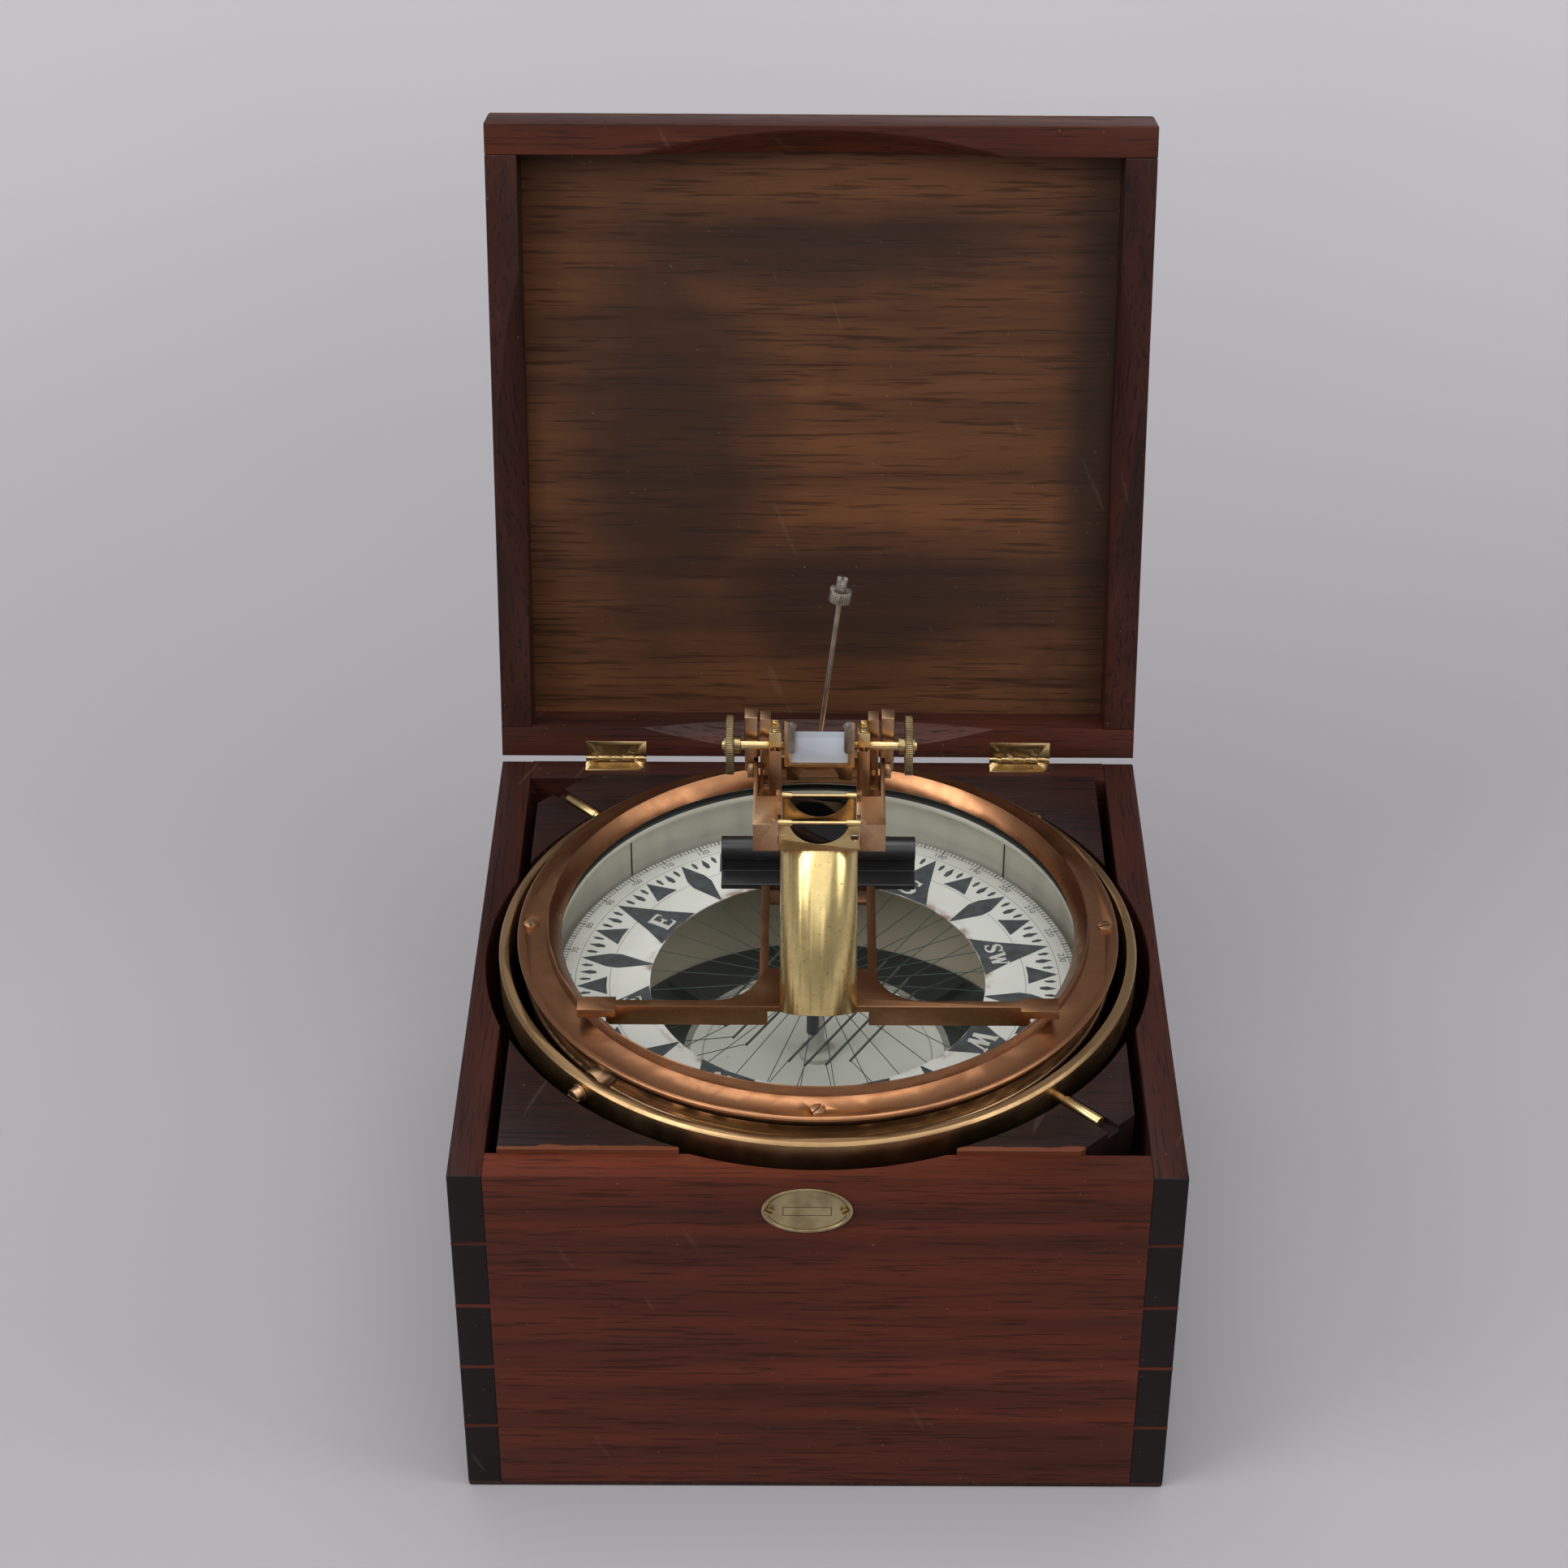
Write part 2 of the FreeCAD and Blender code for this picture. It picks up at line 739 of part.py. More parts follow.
# Bezel, top glass and seal
crest_outer = crest_radius + crest_width
bead_side = (bezel_land_height - bowl_flange_top) / 2
bezel_ring = turned([
    (sight_radius, glass_top), (crest_radius, local(crest_height)), (crest_outer, local(crest_height)),
    (bezel_dip_radius, local(bezel_dip_height)), (bezel_land_radius, local(bezel_land_height)),
    (bezel_edge_radius - bead_side, local(bezel_land_height)),
    (bezel_edge_radius, flange_top + bead_side, bezel_edge_radius - bead_side, flange_top),
    (glass_radius + glass_room, flange_top), (glass_radius + glass_room, glass_top)])
top_glass = Part.makeCylinder(glass_radius, glass_thickness, V(0, 0, glass_under))
glass_seal = turned([(lip_inner, seal_under), (glass_radius, seal_under), (glass_radius, glass_under),
                     (lip_inner, glass_under)])
bezel_screws = []
for index in range(4):
    screw = slotted(bezel_screw_radius, bezel_screw_rise + bezel_screw_sink, bezel_screw_shank,
                    bezel_land_height - bezel_screw_sink - bowl_flange_top + bowl_flange_thickness / 2, 25 + 40 * index)
    screw.translate(V(bezel_screw_circle, 0, local(bezel_land_height - bezel_screw_sink)))
    screw = turned_about_z(screw, 90 * index)
    bezel_screws.append(screw)
    bezel_ring = bezel_ring.cut(screw)
    bowl_body = bowl_body.cut(screw)

# Lubber lines, on the inside of the wall between the gimbal pivots' directions
lubber_band = turned([(bowl_inner - lubber_depth, local(lubber_top - lubber_length)),
                      (bowl_inner, local(lubber_top - lubber_length)), (bowl_inner, local(lubber_top)),
                      (bowl_inner - lubber_depth, local(lubber_top))])
lubber_lines = []
for index in range(4):
    strip = box(0, bowl_outer, -lubber_width / 2, lubber_width / 2, bowl_underside, local(0))
    lubber_lines.append(lubber_band.common(turned_about_z(strip, 45 + 90 * index)))

# Bottom window with its ring, pivot post, nut and point
window_top = window_height + window_glass
bottom_window = Part.makeCylinder(window_radius, window_glass, V(0, 0, window_height))
window_ring = turned([(window_radius - window_ring_width, window_top), (window_radius, window_top),
                      (window_radius, window_top + window_ring_thickness),
                      (window_radius - window_ring_width, window_top + window_ring_thickness)])
post_foot_top = window_top + post_foot_height
pivot_post = joined([
    Part.makeCylinder(post_shank, nut_height + window_glass, V(0, 0, window_height - nut_height)),
    Part.makeCylinder(post_foot_radius, post_foot_height, V(0, 0, window_top)),
    Part.makeCylinder(post_radius, post_top - post_foot_top, V(0, 0, post_foot_top)),
    Part.makeCone(post_radius, post_radius / 2, post_radius, V(0, 0, post_top))])
bottom_window = bottom_window.cut(pivot_post)
nut_corners = [(nut_radius * math.cos(math.radians(60 * k)), nut_radius * math.sin(math.radians(60 * k)))
               for k in range(6)]
post_nut = plate(nut_corners, window_height - nut_height, window_height).cut(pivot_post)
point_shoulder = point_tip - point_cone
pivot_point = joined([
    Part.makeCylinder(point_radius, point_shoulder - post_top, V(0, 0, post_top)),
    Part.makeCone(point_radius, 0, point_cone, V(0, 0, point_shoulder))])
pivot_post = pivot_post.cut(pivot_point)

# Ballast under the floor, with a trim weight that balances the azimuth instrument
ballast_under = bowl_underside - ballast_height
ballast_outer = bowl_arc_radius(bowl_swing_radius, bowl_underside) - ballast_edge_gap
trim_outer = bowl_arc_radius(inner_sphere, floor_top) - trim_edge_gap
ballast_ring = turned([(ballast_inner, ballast_under), (ballast_outer, ballast_under),
                       (ballast_outer, bowl_underside), (ballast_inner, bowl_underside)])
trim_ring = turned([(ballast_inner, floor_top), (trim_outer, floor_top), (trim_outer, floor_top + trim_height),
                    (ballast_inner, floor_top + trim_height)])
trim_reach = 2 * trim_outer
trim_side = trim_reach * math.tan(math.radians(trim_half_angle))
trim_wedge = plate([(0, 0), (trim_side, trim_reach), (-trim_side, trim_reach)],
                   floor_top, floor_top + trim_height)
trim_weight = trim_ring.common(trim_wedge)

# Card: paper ring on a light rim, hung by threads from a jewelled hub
card_under = card_top - card_thickness
card_ring = turned([(card_inner, card_under), (card_outer, card_under), (card_outer, card_top),
                    (card_inner, card_top)])
card_rim = turned([(card_outer - rim_width, card_under - rim_height), (card_outer, card_under - rim_height),
                   (card_outer, card_under), (card_outer - rim_width, card_under)])
thread_height = card_top - card_thickness / 2
hub_under = thread_height - hub_thickness / 2
jewel_under = hub_under
jewel_bore = point_radius + running_fit
jewel_cap = Part.makeCylinder(jewel_radius, jewel_height, V(0, 0, jewel_under))
jewel_cap = jewel_cap.cut(Part.makeCylinder(jewel_bore, point_shoulder - jewel_under, V(0, 0, jewel_under)))
jewel_cap = jewel_cap.cut(Part.makeCone(jewel_bore, 0, point_cone + running_fit, V(0, 0, point_shoulder)))
card_hub = Part.makeCylinder(hub_radius, hub_thickness, V(0, 0, hub_under)).cut(
    Part.makeCylinder(jewel_radius, hub_thickness, V(0, 0, hub_under)))
card_threads = []
for index in range(thread_count):
    thread = rod(thread_radius, V(hub_radius, 0, thread_height), V(card_inner, 0, thread_height))
    card_threads.append(turned_about_z(thread, 360 * (index + 0.5) / thread_count))
needle_height = thread_height - needle_drop
card_needles = []
needle_threads = []
for index, half_length in enumerate(needle_half_lengths):
    for side in (-1, 1):
        across = side * (needle_gap + index * needle_pitch)
        needle = rod(needle_radius, V(across, -half_length, needle_height), V(across, half_length, needle_height))
        card_needles.append(turned_about_z(needle, -north_bearing))
        for end in (-1, 1):
            foot = V(across, end * half_length, needle_height + needle_radius)
            out = V(across, end * half_length, 0)
            out.normalize()
            anchor = V(out.x * thread_anchor, out.y * thread_anchor, card_under)
            thread = turned_about_z(rod(thread_radius, foot, anchor), -north_bearing)
            needle_threads.append(thread.cut(card_ring))

save("gimbal_ring", [gimbal_ring])
save("ring_pins", ring_pins)
save("pivot_screws", pivot_screws)
save("bowl_body", [bowl_body])
save("bezel_ring", [bezel_ring])
save("bezel_screws", bezel_screws)
save("top_glass", [top_glass])
save("glass_seal", [glass_seal])
save("lubber_lines", lubber_lines)
save("bottom_window", [bottom_window])
save("window_ring", [window_ring])
save("pivot_post", [pivot_post])
save("post_nut", [post_nut])
save("pivot_point", [pivot_point])
save("ballast_weights", [ballast_ring, trim_weight])
save("card_ring", [card_ring])
save("card_rim", [card_rim])
save("card_hub", [card_hub])
save("jewel_cap", [jewel_cap])
save("card_threads", card_threads + needle_threads)
save("card_needles", card_needles)


# Azimuth frame: crossbar with its feet, two arms, and the plates between them
def raised(shape):
    """A copy of a shape drawn in heights from the bezel's datum plane, put at its real height."""
    copy = shape.copy()
    copy.translate(V(0, 0, bezel_height))
    return copy


def leaned(shape):
    """A copy of a shape drawn upright on the origin, put on the tube's axis."""
    copy = shape.copy()
    copy.rotate(V(0, 0, 0), V(1, 0, 0), -tube_lean)
    copy.translate(V(0, tube_foot_back, tube_foot_height))
    return copy


arm_in = arm_centre - arm_width / 2
arm_out = arm_centre + arm_width / 2
bar_back = bar_front + bar_depth
seat = crest_height + seat_gap
far = 2 * bezel_edge_radius
bezel_slope = (crest_radius - sight_radius) / (crest_height - sight_height)
bezel_keepout = turned([(sight_radius - sight_gap - bezel_slope * sight_height, 0), (far, 0), (far, seat),
                        (crest_radius - sight_gap, seat)])
tube_bore_room = leaned(Part.makeCylinder(tube_radius, tube_length, V(0, 0, 0)))
tube_foot_room = leaned(Part.makeCylinder(tube_radius, tube_radius, V(0, 0, -tube_radius)))
gusset = box(arm_out, arm_out + arm_fillet, bar_back, bar_back + arm_fillet, frame_bottom, frame_top).cut(
    Part.makeCylinder(arm_fillet, frame_top, V(arm_out + arm_fillet, bar_back + arm_fillet, 0)))
half_frame = [
    box(arm_in, bar_half_length, bar_front, bar_back, bar_bottom, frame_top),
    box(bar_half_length - bar_depth, tab_end, tab_front, tab_back, seat, frame_top),
    box(arm_in, arm_out, bar_front, arm_end, frame_bottom, frame_top),
    gusset]
azimuth_frame = joined(half_frame + [mirrored(s) for s in half_frame] + [
    box(-arm_out, arm_out, bar_front, collar_plate_back, collar_plate_under, frame_top),
    box(-arm_out, arm_out, web_front, web_back, frame_bottom, milled_top),
    box(-arm_out, arm_out, rear_plate_front, arm_end, rear_plate_under, frame_top)])
milled = box(-tab_end, tab_end, milled_front, milled_back, milled_top, frame_top)
azimuth_frame = azimuth_frame.cut(bezel_keepout).cut(milled).cut(tube_bore_room).cut(tube_foot_room)

# Grip: a rail of moulded black rubber
grip_middle = (grip_front + grip_back) / 2
flange_top_height = milled_top + grip_flange
grip = joined([
    box(-grip_half_length, grip_half_length, grip_front, grip_back, milled_top, flange_top_height),
    box(-grip_half_length, grip_half_length, grip_middle - grip_neck / 2, grip_middle + grip_neck / 2,
        flange_top_height, grip_bulb_height),
    x_rod(grip_bulb_radius, -grip_half_length, grip_half_length, grip_middle, grip_bulb_height)])

# Tube with its lens, and the index pin under its front edge
tube_inner = tube_radius - tube_wall
lens_end = lens_start + lens_thickness
tube = Part.makeCylinder(tube_radius, tube_length).cut(Part.makeCylinder(tube_inner, tube_length))
lens_ring = Part.makeCylinder(tube_inner, lens_start).cut(
    Part.makeCylinder(tube_inner - lens_ring_width, lens_start))
tube = leaned(joined([tube, lens_ring]))
tube_lens = leaned(Part.makeCylinder(tube_inner, lens_thickness, V(0, 0, lens_start)))
index_pin = Part.makeCylinder(index_radius, tube_radius, V(index_offset, index_back, index_bottom))
index_pin = index_pin.cut(leaned(Part.makeCylinder(far, tube_length)))

# Head frame: base plate on the tube, cheeks, front blocks, shelves, sills, pillars and uprights
def on_tube_axis(along, across):
    """(y, z) of a point given along the tube's axis and towards the rear of it."""
    lean = math.radians(tube_lean)
    return (tube_foot_back + along * math.sin(lean) + across * math.cos(lean),
            tube_foot_height + along * math.cos(lean) - across * math.sin(lean))


plate_end = tube_length + head_plate
front_reach = (tube_foot_back - head_front + tube_length * math.sin(math.radians(tube_lean))) / math.cos(
    math.radians(tube_lean))
base_plate = box(-head_half_width, head_half_width, -front_reach, tube_radius, tube_length, plate_end)
base_plate = leaned(base_plate.cut(Part.makeCylinder(tube_inner, plate_end)))
front_bottom = on_tube_axis(tube_length, -front_reach)
rear_bottom = on_tube_axis(tube_length, tube_radius)
rear_corner = on_tube_axis(plate_end, tube_radius)
cheek_in = head_half_width - cheek_thickness
cheek = slab([front_bottom, (head_front, head_top), (shelf_back, head_top), (head_back, cheek_back_top),
              (head_back, cheek_back_bottom), rear_corner, rear_bottom], cheek_in, head_half_width)
block_back = head_front + block_depth
block_seat = on_tube_axis(tube_length, -front_reach + block_depth / math.cos(math.radians(tube_lean)))
front_block = slab([front_bottom, (head_front, head_top), (block_back, head_top), (block_back, block_seat[1])],
                   block_inner, head_half_width)
shelf = box(shelf_inner, cheek_in, block_back, shelf_back, head_top - shelf_thickness, head_top)
shelf_neck = box(shelf_inner, cheek_in, block_back - block_depth / 3, block_back,
                 head_top - shelf_thickness, head_top)
lug_top = rear_shade_height + lug_rise
lug = box(shelf_inner, shelf_inner + lug_width, rear_shade_back - lug_half_depth,
          rear_shade_back + lug_half_depth, head_top, lug_top)
sill = box(pillar_inner, cheek_in, sill_front, head_back, sill_under, sill_top)
pillar_outer = pillar_inner + pillar_width
bearing_front = spindle_back - bearing_half_depth
bearing_back = spindle_back + bearing_half_depth
pillar_top = spindle_height - bearing_split
pillar = box(pillar_inner, pillar_outer, bearing_front, bearing_back, sill_top, pillar_top)
upright_outer = upright_inner + upright_width
upright = box(upright_inner, upright_outer, upright_front, upright_back, sill_top, upright_top)
upright = upright.cut(box(upright_inner + window_side, upright_outer - window_side, upright_front, upright_back,
                          window_sill, window_head))
shade_recess = box(-block_inner, block_inner, 2 * head_front,
                   front_shade_back + shade_plate / 2 + shade_back_gap, 0, front_shade_height)
base_plate = base_plate.cut(shade_recess)
half_head = [cheek, front_block, shelf, shelf_neck, lug, sill, pillar, upright]
socket_bar = box(-upright_outer, upright_outer, upright_back, socket_bar_back, socket_bar_under, socket_bar_top)
spindle_room = x_rod(spindle_radius + running_fit, -spindle_end, spindle_end, spindle_back, spindle_height)
head_frame = joined([base_plate, socket_bar] + half_head + [mirrored(s) for s in half_head]).cut(spindle_room)

# Bearing caps and their screws
cap_under = pillar_top + cap_gap
cap_top = cap_under + cap_height
cap = box(pillar_inner, pillar_outer, bearing_front, bearing_back, cap_under, cap_top).cut(spindle_room)
cap_screws = []
for side in (-1, 1):
    place = V((pillar_inner + pillar_outer) / 2,
              spindle_back + side * (bearing_half_depth - cap_screw_inset), cap_top)
    screw = slotted(cap_screw_head, cap_screw_rise, cap_screw_radius, cap_height + cap_gap + cap_screw_depth)
    screw.translate(place)
    cap_screws.append(screw)
for screw in cap_screws:
    cap = cap.cut(screw)
    head_frame = head_frame.cut(screw).cut(mirrored(screw))

# Sight arms outside the cheeks, each with its round boss
arm_boss = x_rod(arm_boss_radius, head_half_width, head_half_width + arm_boss_thickness,
                 arm_boss_back, arm_boss_height)
boss_edge = arm_boss_back + arm_boss_radius
boss_crown = arm_boss_height + arm_boss_radius
sight_arm = joined([
    box(head_half_width, sight_arm_outer, sight_arm_front, head_back, boss_crown, cheek_back_top),
    box(head_half_width, sight_arm_outer, boss_edge, head_back, sight_arm_foot, boss_crown),
    box(sight_arm_inner, sight_arm_outer, sight_arm_front, upright_back, cheek_back_top, sight_arm_top)])

# Prism unit: box with skirt, prism, spindle stubs and milled knobs
skirt_front = prism_front + prism_wall
skirt_back = prism_back - prism_wall
prism_inner = prism_half_width - prism_wall
prism_floor = prism_box_bottom + prism_wall
prism_face = prism_front + prism_lip_depth
prism_middle = (skirt_front + skirt_back) / 2
skirt_radius = (skirt_back - skirt_front) / 2 - prism_wall
prism_box = box(-prism_half_width, prism_half_width, prism_front, prism_back, prism_box_bottom, prism_box_top)
prism_box = prism_box.cut(box(-prism_inner, prism_inner, prism_front, prism_back - prism_wall,
                              prism_floor, prism_box_top))
lip = box(prism_inner - prism_lip, prism_inner, prism_front, prism_face, prism_floor, prism_box_top)
ear_middle = prism_inner - ear_half_width
ear_low = ear_bottom + ear_half_width
ear_high = prism_box_top - ear_radius
ear_screw = slotted(ear_screw_head, ear_screw_rise, ear_screw_shank, prism_lip_depth, 60)
ear_screw.rotate(V(0, 0, 0), V(1, 0, 0), 90)
ear_screw.translate(V(ear_middle, prism_front, ear_high))
ear = joined([
    box(ear_middle - ear_half_width, prism_inner, prism_front, prism_face, ear_low, ear_high),
    rod(ear_half_width, V(ear_middle, prism_front, ear_low), V(ear_middle, prism_face, ear_low)),
    rod(ear_radius, V(ear_middle, prism_front, ear_high), V(ear_middle, prism_face + ear_lap, ear_high)),
    ear_screw])
slope_front = prism_face + ear_lap
slope_high = prism_floor + prism_size + prism_cover - ear_lap
slope_low = slope_high - (prism_back - slope_front)
slope = slab([(slope_front, slope_high), (prism_back, slope_low), (prism_back, prism_box_top),
              (slope_front, prism_box_top)], -prism_half_width, prism_half_width)
skirt = box(-skirt_half_width, skirt_half_width, skirt_front, skirt_back, skirt_bottom, prism_box_bottom)
light_way = Part.makeCylinder(skirt_radius, prism_floor - skirt_bottom, V(0, prism_middle, skirt_bottom))
arch = rod(skirt_arch, V(0, prism_front, skirt_bottom), V(0, prism_middle, skirt_bottom))
prism_box = joined([prism_box.cut(slope), skirt] + both_sides(lip) + both_sides(ear)).cut(light_way)
arch_limit = box(-skirt_arch, skirt_arch, prism_front, prism_middle, skirt_bottom,
                 prism_box_bottom - prism_wall)
prism_box = prism_box.cut(arch.common(arch_limit))
prism = slab([(prism_face, prism_floor), (prism_face, prism_floor + prism_size),
              (prism_face + prism_size, prism_floor)], -prism_inner, prism_inner)
spindle = x_rod(spindle_radius, prism_half_width, spindle_end, spindle_back, spindle_height)
knob = joined([
    x_rod(knob_radius, knob_inner, knob_inner + knob_thickness, spindle_back, spindle_height),
    x_rod(knob_hub_radius, knob_hub_inner, knob_hub_outer, spindle_back, spindle_height)]).cut(spindle)


# Shades: dark half-round glasses in plates that hang from hinge pins
def shade(back, height, half_width):
    """Frame and glass of one shade that hangs from a pin at (back, height)."""
    front = back - shade_plate / 2
    top = height - shade_knuckle_radius / 2
    body = box(-half_width, half_width, front, front + shade_plate, height - shade_drop, top)
    knuckles = both_sides(x_rod(shade_knuckle_radius, shade_knuckle_inner, half_width, back, height))
    chord = height - shade_pin_radius - shade_glass_gap
    radius = (shade_glass_half_chord ** 2 + shade_glass_depth ** 2) / (2 * shade_glass_depth)
    disc = rod(radius, V(0, front, chord + radius - shade_glass_depth),
               V(0, front + shade_plate, chord + radius - shade_glass_depth))
    reach = 2 * radius
    glass = disc.common(box(-reach, reach, front, front + shade_plate, height - reach, chord))
    opening = glass.fuse(box(-shade_glass_half_chord, shade_glass_half_chord, front, front + shade_plate,
                             chord, height))
    bore = x_rod(shade_pin_radius + running_fit, -half_width, half_width, back, height)
    return joined([body] + knuckles).cut(opening).cut(bore), glass


rear_shade_half_width = shelf_inner - shade_side_gap
front_shade_frame, front_shade_glass = shade(front_shade_back, front_shade_height, shade_half_width)
rear_shade_frame, rear_shade_glass = shade(rear_shade_back, rear_shade_height, rear_shade_half_width)
shade_face = front_shade_back - shade_plate / 2
shade_screw_height = front_shade_height - shade_screw_drop
shade_screw = slotted(shade_screw_head, shade_screw_rise, shade_screw_shank, shade_plate / 2, 20)
shade_screw.rotate(V(0, 0, 0), V(1, 0, 0), 90)
shade_screw.translate(V(-shade_screw_offset, shade_face, shade_screw_height))
shade_hole = rod(shade_screw_head, V(shade_screw_offset, shade_face, shade_screw_height),
                 V(shade_screw_offset, shade_face + shade_plate, shade_screw_height))
front_shade_frame = joined([front_shade_frame, shade_screw]).cut(shade_hole)
front_pin_end = block_inner + shade_pin_grip
rear_pin_end = shelf_inner + shade_pin_grip
shade_pins = [x_rod(shade_pin_radius, -front_pin_end, front_pin_end, front_shade_back, front_shade_height),
              x_rod(shade_pin_radius, -rear_pin_end, rear_pin_end, rear_shade_back, rear_shade_height)]
front_lug = box(block_inner, block_inner + lug_width, head_front, front_shade_back + lug_half_depth,
                head_top - shelf_thickness, front_shade_height + lug_rise)
head_frame = joined([head_frame] + both_sides(front_lug))
for pin in shade_pins:
    head_frame = head_frame.cut(pin)


# Shadow pin, which lifts out of its socket along its own slightly leaning axis
def on_pin(shape):
    """A copy of a shape drawn on the Z axis, put on the pin's axis above the socket bar."""
    copy = shape.copy()
    copy.rotate(V(0, 0, 0), V(0, 1, 0), pin_lean)
    copy.translate(V(pin_x, pin_back, socket_bar_top))
    return copy


socket_depth = socket_bar_top - socket_bar_under - pin_stop
cap_middle = (pin_cap_start + pin_cap_end) / 2
shadow_pin = on_pin(joined([
    Part.makeCylinder(pin_radius, pin_cap_start + socket_depth, V(0, 0, -socket_depth)),
    Part.makeCylinder(pin_cap_radius, cap_middle - pin_cap_start, V(0, 0, pin_cap_start)),
    Part.makeCylinder(pin_cap_hub, pin_cap_end - cap_middle, V(0, 0, cap_middle))]))
socket = on_pin(Part.makeCylinder(pin_radius + running_fit, 2 * socket_depth + running_fit,
                                  V(0, 0, -socket_depth - running_fit)))
head_frame = head_frame.cut(socket)

save("azimuth_frame", [raised(azimuth_frame)])
save("grip", [raised(grip)])
save("tube", [raised(tube)])
save("tube_lens", [raised(tube_lens)])
save("index_pin", [raised(index_pin)])
save("head_frame", [raised(head_frame)])
save("bearing_caps", [raised(s) for s in both_sides(cap)])
save("cap_screws", [raised(s) for s in cap_screws + [mirrored(s) for s in cap_screws]])
save("sight_arms", [raised(s) for s in both_sides(sight_arm) + both_sides(arm_boss)])
save("prism_box", [raised(prism_box)])
save("prism", [raised(prism)])
save("spindle", [raised(s) for s in both_sides(spindle)])
save("knobs", [raised(s) for s in both_sides(knob)])
save("front_shade_frame", [raised(front_shade_frame)])
save("front_shade_glass", [raised(front_shade_glass)])
save("rear_shade_frame", [raised(rear_shade_frame)])
save("rear_shade_glass", [raised(rear_shade_glass)])
save("shade_pins", [raised(s) for s in shade_pins])
save("shadow_pin", [raised(shadow_pin)])
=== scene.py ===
# Azimuth compass: a gimballed bowl compass in a wooden case, dressed around its construction model.
# Lengths are metres; a value that ends in _mm is in millimetres.
import json
import math
import bmesh
import bpy
from mathutils import Matrix, Vector


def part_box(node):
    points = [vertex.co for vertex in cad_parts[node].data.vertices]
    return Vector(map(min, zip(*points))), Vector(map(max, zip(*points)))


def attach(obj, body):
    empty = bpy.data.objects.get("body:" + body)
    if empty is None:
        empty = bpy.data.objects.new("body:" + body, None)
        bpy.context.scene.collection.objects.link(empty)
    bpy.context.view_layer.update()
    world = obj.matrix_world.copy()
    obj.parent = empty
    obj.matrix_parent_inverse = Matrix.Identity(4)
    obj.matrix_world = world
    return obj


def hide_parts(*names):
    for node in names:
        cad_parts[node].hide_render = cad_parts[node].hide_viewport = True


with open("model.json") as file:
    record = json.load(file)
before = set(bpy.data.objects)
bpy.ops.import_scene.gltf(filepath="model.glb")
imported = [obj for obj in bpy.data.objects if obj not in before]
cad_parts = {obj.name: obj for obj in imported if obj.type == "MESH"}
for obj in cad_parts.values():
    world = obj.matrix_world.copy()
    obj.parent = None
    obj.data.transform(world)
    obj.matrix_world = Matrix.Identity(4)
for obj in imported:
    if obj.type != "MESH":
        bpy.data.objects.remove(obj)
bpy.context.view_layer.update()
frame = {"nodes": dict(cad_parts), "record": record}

# Camera and studio
# The view is the one a viewer has who stands in front of the case and looks down into the open bowl.
# A long lens keeps the case's sides nearly upright; a small shift keeps the case at its place in the frame.
scene = bpy.context.scene
scene.view_settings.view_transform = "Standard"
camera = bpy.data.objects.new("camera", bpy.data.cameras.new("camera"))
scene.collection.objects.link(camera)
camera.location = (-0.0054, -1.3096, 1.1857)
camera_pitch = math.radians(90 - 34.504)
camera_yaw = math.radians(-0.378)
camera_roll = math.radians(0.470)
turn = Matrix.Rotation(camera_yaw, 3, "Z") @ Matrix.Rotation(camera_pitch, 3, "X")
turn = turn @ Matrix.Rotation(camera_roll, 3, "Z")
camera.rotation_euler = turn.to_euler()
camera.data.sensor_width = 36.0
camera.data.lens = 77.92
camera.data.shift_x = -0.0267
camera.data.shift_y = 0.0076
scene.camera = camera


def softbox(name, place, aim, size, power):
    """Square area lamp of a size in metres, pointed from a place at a point."""
    lamp = bpy.data.lights.new(name, "AREA")
    lamp.shape = "RECTANGLE"
    lamp.size = size[0]
    lamp.size_y = size[1]
    lamp.energy = power
    holder = bpy.data.objects.new(name, lamp)
    scene.collection.objects.link(holder)
    holder.location = place
    holder.rotation_euler = (Vector(aim) - Vector(place)).to_track_quat("-Z", "Y").to_euler()


softbox("lamp_left", (-1.7, -0.9, 1.7), (0, 0, 0.2), (1.2, 1.4), 26)
softbox("lamp_right", (1.8, -0.6, 1.5), (0, 0, 0.2), (1.0, 1.4), 15)
softbox("lamp_above", (0.1, 0.3, 2.3), (0, 0, 0.2), (1.8, 1.2), 20)
daylight = bpy.data.lights.new("daylight", "SUN")
daylight.energy = 1.3
daylight.angle = math.radians(70)
daylight_holder = bpy.data.objects.new("daylight", daylight)
scene.collection.objects.link(daylight_holder)
daylight_holder.rotation_euler = Vector((0.05, 0.55, -0.8)).to_track_quat("-Z", "Y").to_euler()

